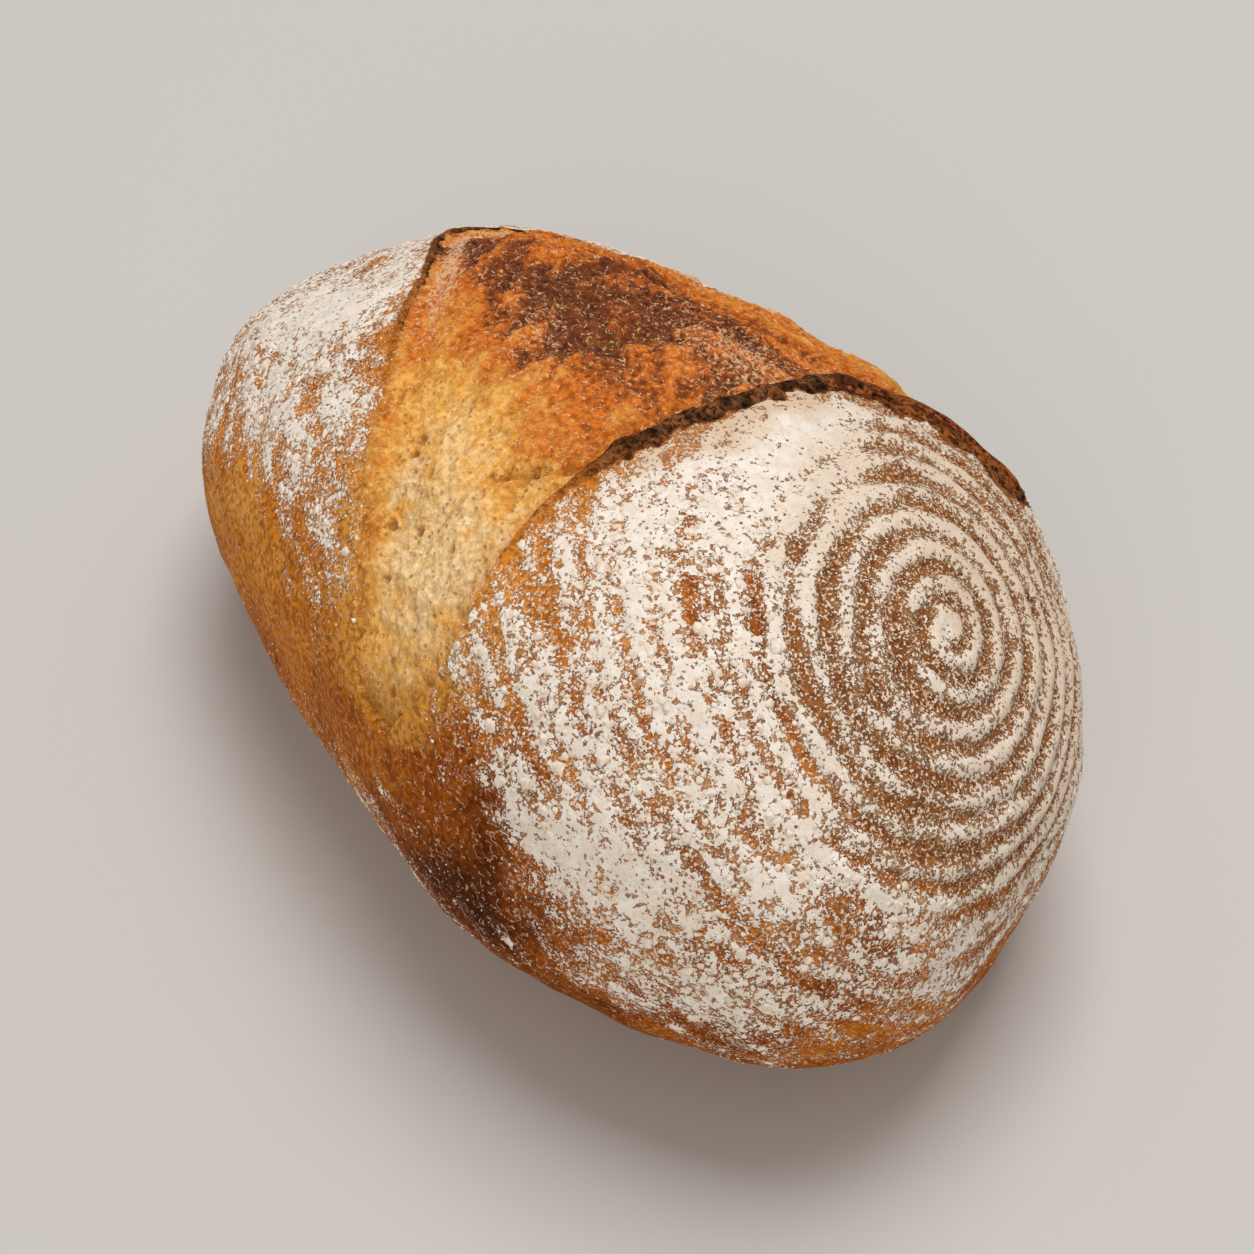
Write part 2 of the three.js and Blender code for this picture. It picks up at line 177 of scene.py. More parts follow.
# place along, angle round in degrees, reach on the ball, height in mm
SWELLINGS = {
    "far cheek": (-0.62, 180, 0.35, 3.2),
    "front waist": (-0.05, 182, 0.30, -5.5),
    "wide cheek": (0.50, 185, 0.35, 1.1),
    "nose": (0.95, 150, 0.35, 4.4),
    "far top": (-0.75, 100, 0.35, -6.9),
    "right shoulder": (0.80, 20, 0.35, -1.0),
    "back shoulder": (0.50, 20, 0.30, 3.2),
    "back waist": (-0.05, 52, 0.34, -6.5),
}

print("the dough is", (LENGTH, WIDTH, HEIGHT), "mm before its", len(SWELLINGS), "swellings")

# %% Helpers for arrays


def unit(vectors):
    """Vectors divided by their lengths."""
    return vectors / np.linalg.norm(vectors, axis=-1, keepdims=True)


def dot(first, second):
    """The inner product along the last axis."""
    return np.sum(first * second, axis=-1)


def ease(low, high, value):
    """A cubic ease, 3tt - 2ttt, from 0 where value is low to 1 where it is high."""
    t = np.clip((value - low) / (high - low), 0, 1)
    return t * t * (3 - 2 * t)


def along(values, share):
    """A smooth Catmull-Rom curve through evenly spaced values, read at shares from 0 to 1."""
    values = np.asarray(values, float)
    last = len(values) - 1
    place = np.clip(share, 0, 1) * last
    index = np.minimum(place.astype(int), last - 1)
    t = place - index
    a, b, c, d = (values[np.clip(index + step, 0, last)] for step in (-1, 0, 1, 2))
    square = (2 * a - 5 * b + 4 * c - d) * t * t
    cube = (3 * b - a - 3 * c + d) * t ** 3
    return 0.5 * (2 * b + (c - a) * t + square + cube)


def ball_point(share, turn):
    """The point of the unit ball at a share of the half length and an angle round the axis."""
    share, turn = np.broadcast_arrays(np.asarray(share, float), np.asarray(turn, float))
    ring = np.sqrt(np.maximum(1 - share * share, 0))
    return np.stack([share, ring * np.cos(turn), ring * np.sin(turn)], axis=-1)


def between(start, end, share):
    """Points of the great circle from start to end, at shares of the way (or beyond it)."""
    whole = np.arccos(np.clip(dot(start, end), -1, 1))[..., None]
    share = np.asarray(share, float)[..., None]
    return (np.sin((1 - share) * whole) * start + np.sin(share * whole) * end) / np.sin(whole)


def angle(first, second):
    """The angle between two ball points in radians, kept exact for close points."""
    return 2 * np.arcsin(np.clip(np.linalg.norm(first - second, axis=-1) / 2, 0, 1))


print("the quarter turn of the ball is", np.round(ball_point(0.0, TURN / 4), 3))

# %% From the ball to the loaf
OFF_AXIS = np.array([0.31, 0.95, 0.05])
WAY_STEP = 2.4

# height and wave length in mm, seed
SLOW_WAVES = {
    "long": (0.9, 75, 1),
    "short": (0.35, 31, 2),
}


def bell(ball, at, turn, reach):
    """A bell curve round a place on the ball, exp(-dd / rr), with d the distance from it."""
    distance = np.sum((ball - ball_point(at, np.radians(turn))) ** 2, axis=-1)
    return np.exp(-distance / reach ** 2)


def egg(share, peak):
    """The half width of an egg, (1 - u**n)**(1/n), with u counted from its widest place."""
    wide_end = share > peak
    reach = np.where(wide_end, 1 - peak, 1 + peak)
    power = np.where(wide_end, WIDE_END_POWER, FAR_END_POWER)
    return np.maximum(1 - np.abs((share - peak) / reach) ** power, 0) ** (1 / power)


def dough(ball):
    """Stretches ball points to the loaf: an egg from above and from the side, a squarish
    section, a slight bend, and a soft bell curve out or in for each swelling."""
    share = np.clip(ball[..., 0], -1, 1)
    ring = np.sqrt(np.maximum(1 - share * share, 1e-12))
    cosine = np.clip(ball[..., 1] / ring, -1, 1)
    sine = np.clip(ball[..., 2] / ring, -1, 1)
    half_width = WIDTH / 2 * egg(share, WIDEST_AT)
    upwards = (HEIGHT - MIDDLE_HEIGHT) * egg(share, HIGHEST_AT)
    downwards = MIDDLE_HEIGHT * UNDER_SHARE * egg(share, WIDEST_AT) ** UNDER_FADE
    top = upwards * np.abs(sine) ** (2 / SECTION_POWER) * (1 + LEAN * cosine * sine)
    rise = np.where(sine > 0, top, -downwards * np.abs(sine))
    side = half_width * np.sign(cosine) * np.abs(cosine) ** (2 / SECTION_POWER)
    bend = SIDEWAYS_BEND * share ** 2 + SIDEWAYS_CURL * share ** 3
    place = np.stack([share * LENGTH / 2, side + bend, MIDDLE_HEIGHT + rise], axis=-1)
    for at, turn, reach, height in SWELLINGS.values():
        place = place + ball * (height * bell(ball, at, turn, reach))[..., None]
    return place


def outward(ball, step=0.02):
    """The way out of the dough: two short steps over the ball, crossed."""
    first = unit(np.cross(ball, OFF_AXIS))
    second = np.cross(ball, first)

    def moved(way, size):
        """The dough at a short step along one way."""
        return dough(unit(ball + size * way))

    across_first = moved(first, step) - moved(first, -step)
    across_second = moved(second, step) - moved(second, -step)
    return unit(np.cross(across_first, across_second))


def ripple(place, wave, seed, waves=6):
    """Slow unevenness: sine waves in directions spread over the ball, each a little longer."""
    total = np.zeros(place.shape[:-1])
    for index in range(waves):
        height = 1 - (2 * index + 1) / waves
        ring = np.sqrt(1 - height * height)
        turn = WAY_STEP * index + seed
        way = np.array([ring * np.cos(turn), ring * np.sin(turn), height])
        length = wave * (0.75 + 0.1 * index)
        total += np.sin(TURN * place @ way / length + 1.7 * seed + 2.1 * index)
    return total / np.sqrt(waves)


def uneven(place):
    """The slow unevenness of the whole loaf, a sum of two ripples, in mm."""
    return sum(height * ripple(place, wave, seed) for height, wave, seed in SLOW_WAVES.values())


def raised(ball, height):
    """The loaf's place at a ball point, moved out by a height and by the unevenness."""
    place = dough(ball)
    return place + outward(ball) * (height + uneven(place))[..., None]


def settle(place):
    """Sets the loaf down: a soft turn towards the floor, pressed flat where it touches."""
    height = place[..., 2] + BASE_PRESS
    nearness = np.maximum(BASE_ROUNDING - np.abs(height), 0) / BASE_ROUNDING
    pressed = np.maximum(height, 0) + nearness ** 2 * BASE_ROUNDING / 4 - BASE_PRESS
    place = place.copy()
    place[..., 2] = np.where(pressed < BASE_TOUCH, 0, pressed)
    return place


widest = dough(ball_point(WIDEST_AT, np.linspace(0, TURN, 90)))
print("the bare dough is", round(float(np.ptp(widest[:, 1])), 1), "mm across at its widest")

# %% [markdown]
# ## Random grain that can be repeated
#
# Flour, crags and torn crumb are random but not shapeless. They come from value noise: each
# cell corner of a lattice gets a fixed random number, and the numbers are blended smoothly in
# between. Cell noise looks for the nearest of many scattered points, which gives holes and
# pores. A seed in each call keeps every run the same.

# %% Noise
CELL_PRIMES = np.array([374761393, 668265263, 1442695041])
SEED_PRIME = 974634777
LOW_BITS = 0xFFFFFFFF
NUMBER_BITS = 0xFFFFFF


def scatter(cell, seed):
    """A repeatable random number from 0 to 1 for each whole-numbered cell: the cell's three
    numbers times large odd numbers, with high bits folded onto low ones twice."""
    mixed = (np.sum(cell * CELL_PRIMES, axis=-1) + seed * SEED_PRIME) & LOW_BITS
    for shift, factor in ((13, 1274126177), (16, 1911520717)):
        mixed = ((mixed ^ (mixed >> shift)) * factor) & LOW_BITS
    return ((mixed ^ (mixed >> 15)) & NUMBER_BITS) / NUMBER_BITS


def cloud(place, size, seed):
    """Value noise from -1 to 1: the eight corner numbers of each cell, blended."""
    scaled = place / size
    cell = np.floor(scaled).astype(np.int64)
    t = scaled - cell
    t = t * t * t * (t * (6 * t - 15) + 10)
    total = np.zeros(place.shape[:-1])
    for corner in np.ndindex(2, 2, 2):
        share = np.prod(np.where(np.array(corner) == 1, t, 1 - t), axis=-1)
        total += share * scatter(cell + np.array(corner), seed)
    return 2 * total - 1


def clouds(place, size, seed, octaves=3, gain=0.55):
    """Value noise at a size, at half of it and so on, each weaker, scaled so that most values
    lie between -1 and 1."""
    total = np.zeros(place.shape[:-1])
    weights = 0
    for octave in range(octaves):
        total += gain ** octave * cloud(place, size / 2 ** octave, seed + 17 * octave)
        weights += gain ** (2 * octave)
    return 1.6 * total / np.sqrt(weights)


def spots(place, size, seed):
    """Cell noise: the distance to the nearest scattered point, in cells, and its own number."""
    scaled = place / size
    cell = np.floor(scaled).astype(np.int64)
    nearest = np.full(place.shape[:-1], 9.0)
    number = np.zeros(place.shape[:-1])
    for step in np.ndindex(3, 3, 3):
        other = cell + np.array(step) - 1
        point = other + np.stack([scatter(other, seed + axis) for axis in range(3)], axis=-1)
        distance = np.linalg.norm(scaled - point, axis=-1)
        closer = distance < nearest
        nearest = np.where(closer, distance, nearest)
        number = np.where(closer, scatter(other, seed + 3), number)
    return nearest, number


def burst(place, size, seed, rim, bottom, none, each):
    """Burst bubbles from 0 to 1: cell noise that rises from its rim to its bottom (distances
    in cells), in those cells whose own number is past none, and wholly past each."""
    nearest, number = spots(place, size, seed)
    return ease(rim, bottom, nearest) * ease(none, each, number)


diagonal = np.linspace(0, 300, 900)[:, None] * np.ones(3)
middle_range = np.quantile(clouds(diagonal, 5, 1), (0.1, 0.9))
print("eight in ten noise values lie between", *np.round(middle_range, 2))

# %% [markdown]
# ## The slash
#
# The slash runs from low on the back, over the top, to low on the front. Its two lips are
# curves of place along the loaf against angle round it. Each grid column crosses both lips, so
# the same columns carry the crust on either side and the crumb between.

# %% The lips of the slash
BACK_TIP = 6.0
FRONT_TIP = 165.0
FAR_LIP = [37, -14, -64, -97, -66, -31, -1, 24]
WIDE_LIP = [49, 59, 33.5, 33.5, 31.5, 34, 41, 32]
TIP_GAP = 12.0
UNDER_SPREAD = 35.0
BACK_FADE = 0.14
FRONT_FADE = 0.1
MM_PER_BALL = 110.0
FAR_TIP = ball_point(-1.0, 0.0)


def half_between(far_lip, wide_lip):
    """Half the width between two lips, which never shrinks to nothing: hypot(half, gap)."""
    return np.hypot(np.maximum((wide_lip - far_lip) / 2, 0), TIP_GAP / 2)


class Slash:
    """What each column knows of the slash: the share of the way along it, how open it is
    there, where both lips are on the ball, and the width between them in mm."""

    def __init__(self, turn):
        degrees = np.degrees(turn) % 360
        raw = (degrees - BACK_TIP) / (FRONT_TIP - BACK_TIP)
        inside = (raw >= 0) & (raw <= 1)
        self.share = np.clip(raw, 0, 1)
        past = ((degrees - FRONT_TIP) % 360) / (360 - FRONT_TIP + BACK_TIP)
        tips = [(FAR_LIP[end] + WIDE_LIP[end]) / 2 for end in (-1, 0)]
        tip_halves = [half_between(FAR_LIP[end], WIDE_LIP[end]) for end in (-1, 0)]
        far = along(FAR_LIP, self.share)
        wide = along(WIDE_LIP, self.share)
        middle = np.where(inside, (wide + far) / 2, along(tips, past))
        under = along(tip_halves, past) + UNDER_SPREAD * np.sin(np.pi * past) ** 2
        half = np.where(inside, half_between(far, wide), under)
        fade = ease(0, BACK_FADE, self.share) * ease(0, FRONT_FADE, 1 - self.share)
        self.open = np.where(inside, fade, 0)
        self.far_lip = ball_point((middle - half) / (LENGTH / 2), turn)
        self.wide_lip = ball_point((middle + half) / (LENGTH / 2), turn)
        self.width = angle(self.far_lip, self.wide_lip) * MM_PER_BALL


top_width = Slash(np.radians([90.0])).width[0]
print("the slash is", round(float(top_width)), "mm wide on top of the loaf")

# %% [markdown]
# ## The crumb's rise and the ear's lift
#
# The heights by the two lips and between them are smooth curves through eight numbers each,
# from the back tip to the front tip. So the ear can stand high over the top and fade into the
# crust at the front. The tears in the crumb are grooves with a bell-shaped section.

# %% The risen crumb and the ear
CRUMB_BY_FAR_LIP = [0, -2, -2, -2.6, -2.6, -3, -3, -1]
CRUMB_MIDDLE = [0, 0, 2, 1.8, 0.8, -2.3, -3.5, -1]
CRUMB_SHOULDER = [0.1, 0.05, 0.04, 0.05, 0.08, 0.22, 0.4, 0.5]
CRUMB_BY_EAR = [-3, -3.8, -4, -4.2, -3.6, -1.4, -0.5, -0.3]
EAR_ROLL = [1, 2.4, 2.4, 2, 1.8, 1, 0.5, 0.5]
EAR_LIFT = [0, 2.2, 2.4, 1.4, 1.2, 0.5, 0, 0]
EAR_REACH = [0, 2.4, 2.4, 1.2, 1.4, 0.6, 0, 0]
EAR_RUN_BACK = 14.0
FAR_ROLL = [0.5, 0.3, 0.4, 1, 1, 0.9, 0.8, 0.8]
FAR_LIFT = [0, -1.5, -1, 1.2, 1, 0.1, -0.3, 0]
FAR_RUN_BACK = 9.0
SLASH_LENGTH = 210.0
LIP_AIM = 0.06
CRUMB_LUMPS = (0.5, 26, 3)
LUMP_FREE_EDGE = 0.1

# place along the slash, half length, place across, slant, depth and half width in mm
FOLDS = {
    "long tear": (0.55, 0.13, 0.60, -1.75, 1.8, 3.0),
    "side tear": (0.50, 0.09, 0.55, -1.6, 1.3, 2.4),
    "torn holes": (0.665, 0.055, 0.83, -3.4, 1.7, 0.8),
    "ridge": (0.43, 0.12, 0.40, -2.2, -1.2, 6.0),
    "valley": (0.83, 0.13, 0.085, -0.4, 0.9, 3.5),
}


def fold_depth(slash, across):
    """The torn folds: each is a straight bell-shaped groove, faded out at its ends."""
    folds = 0
    for at, half, middle, slant, depth, width in FOLDS.values():
        line = middle + slant * (slash.share - at)
        distance = (across - line) * slash.width / np.hypot(1, slant * slash.width / SLASH_LENGTH)
        run = ease(half, 0.5 * half, np.abs(slash.share - at))
        folds = folds + depth * np.exp(-((distance / width) ** 2)) * run
    return folds


def crumb_height(slash, across, place):
    """A parabola through the heights by the far lip, in the middle and by the ear, with a
    soft shoulder by the far lip, the torn folds and slow lumps."""
    share = slash.share
    by_far = along(CRUMB_BY_FAR_LIP, share) * (1 - across) * (1 - 2 * across)
    middle = along(CRUMB_MIDDLE, share) * 4 * across * (1 - across)
    by_ear = along(CRUMB_BY_EAR, share) * across * (2 * across - 1)
    shoulder = ease(-0.01, 1, across / along(CRUMB_SHOULDER, share))
    edges = ease(0, LUMP_FREE_EDGE, across) * ease(0, LUMP_FREE_EDGE, 1 - across)
    height, wave, seed = CRUMB_LUMPS
    lumps = height * ripple(place, wave, seed) * edges
    return ((by_far + middle + by_ear) * shoulder - fold_depth(slash, across) + lumps) * slash.open


print("the crumb has", len(FOLDS), "folds, and the ear lifts", max(EAR_LIFT), "mm at most")

# %% [markdown]
# ## The basket's rings
#
# A basket of coiled cane leaves a spiral: one pitch further out for each turn round its
# middle. The wave is a cosine of the distance over the pitch, less the bearing over one turn.
# On one side the rings reach further from their middle than on the other.

# %% The rings
# heights in mm, and ends and bearings in degrees
RING_CENTRE = ball_point(0.737, np.radians(72.5))
RING_PITCH = np.radians(4.0)
RING_HEIGHT = 0.34
RING_PHASE = 0.9
RINGS_END = 26.0
RINGS_END_RIGHT = 42.0
RINGS_RIGHT = 70.0
RINGS_FADE = 0.25
RING_EYE = 0.035
RING_AHEAD = unit(np.array([1.0, 0, 0]) - RING_CENTRE[0] * RING_CENTRE)
RING_ASIDE = np.cross(RING_CENTRE, RING_AHEAD)


def ring_place(ball):
    """The distance from the rings' middle in radians, and the bearing round it."""
    return angle(ball, RING_CENTRE), np.arctan2(dot(ball, RING_ASIDE), dot(ball, RING_AHEAD))


def ring_side(bearing, middle):
    """From 0 to 1, how far a bearing is on one side of the rings: (1 + cos) / 2."""
    return 0.5 + 0.5 * np.cos(bearing - np.radians(middle))


def rings_end(bearing):
    """How far the rings reach: further on the right side."""
    right = ring_side(bearing, RINGS_RIGHT)
    return np.radians(RINGS_END + (RINGS_END_RIGHT - RINGS_END) * right)


def ring_wave(ball):
    """The spiral wave from -1 to 1, and how strongly the rings show there, from 0 to 1."""
    distance, bearing = ring_place(ball)
    end = rings_end(bearing)
    strength = ease(end, end * (1 - RINGS_FADE), distance)
    turns = distance / RING_PITCH - bearing / TURN
    return np.cos(TURN * (turns - RING_PHASE)), strength


bearings = np.linspace(0, TURN, 12, endpoint=False)[:, None]
ways = np.cos(bearings) * RING_AHEAD + np.sin(bearings) * RING_ASIDE
one_ring_out = RING_CENTRE * np.cos(RING_PITCH) + ways * np.sin(RING_PITCH)
ring_steps = np.linalg.norm(dough(one_ring_out) - dough(RING_CENTRE), axis=-1)
print("round their middle the rings lie", *np.round(np.quantile(ring_steps, (0, 1)), 1), "mm apart")

# %% [markdown]
# ## Where the flour lies and where the crust is dark
#
# Flour and bake are drawn on the ball as soft patches: each has a middle, a reach and an
# amount, and the patches add up. For flour the sum is only a leaning. Noise decides the ragged
# edge, and it is drawn out along the rings, because the flour came off the turns of the basket.
# Low down, by the oven floor, there is hardly any. Low on the wide flank the bake patch also
# carries painted shade.

# %% Flour and bake
# place along, angle round in degrees, reach on the ball, amount
FLOUR_PATCHES = {
    "crown by the ear": (0.30, 80, 0.20, 1.95),
    "wide top": (0.60, 60, 0.35, 0.55),
    "wide top left": (0.45, 100, 0.20, 0.48),
    "wide flank": (0.62, 125, 0.22, 0.35),
    "lower flank": (0.85, 148, 0.20, 0.15),
    "nose": (0.97, 185, 0.20, -0.25),
    "right side": (0.85, 35, 0.28, 0.70),
    "bare flank": (0.42, 168, 0.23, -1.90),
    "front tip dust": (0.31, 141, 0.08, 1.00),
    "bare front": (0.20, 155, 0.14, -1.20),
    "rings low": (0.84, 112, 0.12, 0.45),
    "flank streak": (0.60, 158, 0.13, 1.60),
    "bare spot": (0.47, 68, 0.055, -1.10),
    "under the ear": (0.25, 97, 0.07, 0.90),
    "flank middle": (0.72, 148, 0.12, 0.35),
    "low bare": (0.78, 172, 0.12, 0.10),
    "low edge": (0.55, 185, 0.14, -0.75),
    "far top": (-0.72, 84, 0.28, 0.15),
    "far shoulder": (-0.62, 115, 0.18, 2.05),
    "far cheek": (-0.45, 140, 0.18, 0.20),
    "far low": (-0.30, 165, 0.25, -1.60),
    "far end": (-0.95, 125, 0.20, -0.15),
    "far base": (-0.48, 185, 0.30, -1.30),
    "front base": (0.02, 172, 0.26, -1.50),
}
FLOUR_BASE = -0.12
FLOOR_RUB = 1.6
FLOOR_RUB_TO = 47.0
FLOOR_RUB_WHOLE = 16.0
RINGS_FILLED = 110.0
RING_FLOUR = 0.85
RING_BARE = 0.30
RING_FILL = 0.5
RING_PATCHES = 28
TRACE = 0.33
TRACE_FROM = 80
TRACE_TO = 35
FLOUR_THIN = 0.35
FLOUR_SQUEEZE = 0.5
STREAK = 0.42
STREAK_SIZE = 17.0
FLAKE = 0.34
FLAKE_SIZE = 4.5
EYE_FLOUR = 0.45
THIN_COAT = 0.3
THICK_COAT = 0.2
LUMP_HEIGHT = 0.16
LUMP_SIZE = 3.4
DENT_DEPTH = 0.22
DENT_SIZE = 9

# place along, angle round in degrees, reach on the ball, amount
BAKE_PATCHES = {
    # the wide low flank is browner, and darker still as painted shade
    "wide low flank, also painted shade": (0.45, 182, 0.22, 0.50),
    "wide flank": (0.42, 158, 0.20, 0.18),
    "rings": (0.74, 72, 0.38, 0.46),
    "far end": (-0.95, 110, 0.30, 0.15),
    "far cheek": (-0.30, 165, 0.40, -0.17),
    "low nose": (0.85, 190, 0.35, 0.16),
}
BAKE_BASE = 0.38


def patches(ball, table, base):
    """The base amount, plus each patch's amount times a bell curve of the distance."""
    total = np.full(ball.shape[:-1], float(base))
    for at, turn, reach, amount in table.values():
        total += amount * bell(ball, at, turn, reach)
    return total


def drawn_out(ball, ratio=2.8):
    """A place for noise that draws grain out along the rings: distance counts more than once."""
    distance, bearing = ring_place(ball)
    flat = np.sin(distance) * MM_PER_BALL
    across = ratio * distance * MM_PER_BALL
    return np.stack([across, flat * np.cos(bearing), flat * np.sin(bearing)], axis=-1)


def flour_leaning(ball, place):
    """How much a place leans towards flour: the patches, streaks and flakes, the rings whose
    gaps stay bare, and a faint trace of the basket's outer turns."""
    wave, strength = ring_wave(ball)
    distance, bearing = ring_place(ball)
    trace = ease(np.radians(TRACE_FROM), np.radians(TRACE_TO), distance) * (1 - strength)
    leaning = patches(ball, FLOUR_PATCHES, FLOUR_BASE)
    leaning = leaning - FLOOR_RUB * ease(FLOOR_RUB_TO, FLOOR_RUB_WHOLE, place[..., 2])
    leaning = leaning + STREAK * clouds(drawn_out(ball), STREAK_SIZE, 5, 3)
    leaning = leaning + FLAKE * clouds(place, FLAKE_SIZE, 9, 2)
    leaning = leaning + EYE_FLOUR * np.exp(-((distance / RING_EYE) ** 2))
    uneven_wave = wave * (1 + 0.5 * cloud(place, RING_PATCHES, 15))
    filled = RING_FILL * ring_side(bearing, RINGS_FILLED)
    leaning = leaning + strength * (RING_FLOUR * uneven_wave - RING_BARE + filled)
    leaning = leaning + TRACE * trace * wave
    return np.minimum(leaning, FLOUR_THIN + FLOUR_SQUEEZE * (leaning - FLOUR_THIN))


def flour_height(leaning):
    """The flour's thickness in mm: none where bare, a thin coat, then a thicker one."""
    return THIN_COAT * ease(-0.15, 0.25, leaning) + THICK_COAT * ease(0.3, 1.0, leaning)


def crust_relief(ball, place):
    """The small relief of the crust in mm: rings, flour and its lumps, and dents."""
    wave, strength = ring_wave(ball)
    distance, _ = ring_place(ball)
    rings = RING_HEIGHT * wave * strength * ease(0, RING_EYE, distance)
    leaning = flour_leaning(ball, place)
    floured = ease(-0.3, 0.5, leaning) * (1 - 0.7 * strength)
    lumps = LUMP_HEIGHT * clouds(place, LUMP_SIZE, 31, 2) * floured
    dents = DENT_DEPTH * clouds(place, DENT_SIZE, 41, 3)
    return rings + flour_height(leaning) + lumps + dents


print("flour is drawn with", len(FLOUR_PATCHES), "patches and bake with", len(BAKE_PATCHES))

# %% [markdown]
# ## Colour of the bake
#
# Crust and crumb brown along a like path, from cream or gold through caramel to almost black.
# Each skin gets its stops along that path, and a bake level from 0 to 1 picks between. Where
# a lip is soft, both skins take one colour, so that the seam between them doesn't show.

# %% Colours of the bake


def shade(*levels):
    """A colour from screen levels of 0 to 255, made linear."""
    level = np.array(levels, float) / 255
    return np.where(level <= 0.04045, level / 12.92, ((level + 0.055) / 1.055) ** 2.4)


def blend(stops, value):
    """Colours read from evenly spaced stops at values from 0 to 1."""
    stops = np.array(stops)
    place = np.clip(value, 0, 1) * (len(stops) - 1)
    index = np.minimum(place.astype(int), len(stops) - 2)
    t = (place - index)[..., None]
    return stops[index] * (1 - t) + stops[index + 1] * t


def toward(colours, other, share):
    """Colours mixed with another colour by a share for each."""
    return colours + (other - colours) * np.asarray(share)[..., None]


CRUST_LEVELS = [(222, 160, 78), (194, 118, 32), (148, 76, 14), (94, 44, 8), (54, 26, 8)]
CRUMB_LEVELS = [(243, 213, 162), (238, 178, 86), (204, 114, 34), (150, 80, 26), (100, 50, 22)]
CRUST_STOPS = [shade(*levels) for levels in CRUST_LEVELS]
CRUMB_STOPS = [shade(*levels) for levels in CRUMB_LEVELS]
SOFT_LIP_COLOUR = shade(206, 126, 44)
TIP_COLOUR = shade(198, 136, 56)
SCORCH_COLOUR = shade(98, 61, 35)
BACK_SCORCH_COLOUR = shade(124, 68, 30)
RING_GAP_COLOUR = shade(134, 87, 48)

# values at even steps along the slash, from the back tip to the front tip
LIP_SOFT = [0, 0, 0.05, 0.05, 0.08, 0.5, 1, 1]
FAR_SCORCH = [1, 1, 1, 0.9, 0.7, 0.15, 0, 0]
EAR_SCORCH = [1, 1, 1, 1, 1, 0.25, 0, 0]
EAR_BAND = [7, 13, 9, 2.6, 2.2, 0.8, 0, 0]
FAR_DUST = [0.6, 0.8, 0.9, 0.85, 0.7, 0, 0, 0]


def lip_colour(share):
    """The colour that both skins share at a soft lip: orange, and golden towards the front tip."""
    start = np.broadcast_to(SOFT_LIP_COLOUR, share.shape + (3,))
    return toward(start, TIP_COLOUR, ease(0.68, 0.86, share))


print("the palest crust is", np.round(CRUST_STOPS[0], 2))
print("the darkest crust is", np.round(CRUST_STOPS[-1], 2))

# %% [markdown]
# ## The crust
#
# The crust is one closed surface. Its rows run from the far tip over the far lip, down into
# the bed that the crumb covers, up round the ear and on to the middle of the rings. The ear is
# the wide lip, which lifted in the oven and tore: a thin rim rolled round a small circle.

# %% The crust's grid
CRUST_COLUMNS = 372
TOP_CROWDING = 0.45
FAR_ROWS = 88
FAR_ROW_POWER = 1.25
LIP_ROWS = 5
BED_ROWS = 20
EAR_ROWS = 15
SHOULDER_ROWS = 66
RING_ROWS = 72
RING_ZONE_SHARE = 0.85
BED_DEPTH = 5.0
CLOSED_STEP = 0.14
LIP_MARGIN = 0.6
EAR_FROM = -80.0
EAR_SWEEP = 165.0
KNOB_AT = 0.59
KNOB_REACH = 0.012
FAR_AWAY = 999.0


def column_turns(count):
    """Angles round the loaf, closer together over the top than under the base."""
    even = TURN * np.arange(count) / count
    return np.sort((even + TOP_CROWDING * np.cos(even)) % TURN)


def from_lip(lip, towards, out, over):
    """Places by a lip: out along the normal, and over the slash, by two lengths in mm."""
    place = dough(lip)
    across = unit(dough(towards) - place)
    return place + outward(lip) * (out + uneven(place))[..., None] + across * over[..., None]


def mesh_object(name, places, corners, sizes):
    """A smooth mesh object from vertex places in mm, face corners and face sizes."""
    mesh = bpy.data.meshes.new(name)
    mesh.vertices.add(len(places))
    mesh.vertices.foreach_set("co", ((places - DOUGH_MIDDLE) * MM).astype(np.float32).ravel())
    mesh.loops.add(len(corners))
    mesh.loops.foreach_set("vertex_index", corners.astype(np.int32))
    mesh.polygons.add(len(sizes))
    mesh.polygons.foreach_set("loop_start", (np.cumsum(sizes) - sizes).astype(np.int32))
    mesh.polygons.foreach_set("use_smooth", np.ones(len(sizes), bool))
    mesh.update(calc_edges=True)
    mesh.validate()
    thing = bpy.data.objects.new(name, mesh)
    bpy.context.scene.collection.objects.link(thing)
    print(name, "has", int(np.sum(sizes - 2)), "triangles")
    return thing


def grid_object(name, grid, ends):
    """A closed mesh from a grid of places (rows, columns) whose columns go round: squares
    between neighbours, and a fan to a single point at each end."""
    rows, columns = grid.shape[:2]
    places = np.concatenate([grid.reshape(-1, 3), np.asarray(ends).reshape(-1, 3)])
    index = np.arange(rows * columns).reshape(rows, columns)
    after = np.roll(index, -1, axis=1)
    squares = np.stack([index[:-1], after[:-1], after[1:], index[1:]], axis=-1).reshape(-1, 4)
    first_fan = np.stack([np.full(columns, rows * columns), after[0], index[0]], axis=-1)
    last_fan = np.stack([np.full(columns, rows * columns + 1), index[-1], after[-1]], axis=-1)
    corners = np.concatenate([squares.ravel(), first_fan.ravel(), last_fan.ravel()])
    sizes = np.concatenate([np.full(len(squares), 4), np.full(2 * columns, 3)])
    return mesh_object(name, places, corners, sizes)


def with_ends(values, end):
    """The values of a grid in one row, and one value more for each end of the grid."""
    return np.concatenate([np.ravel(values), [end, end]])


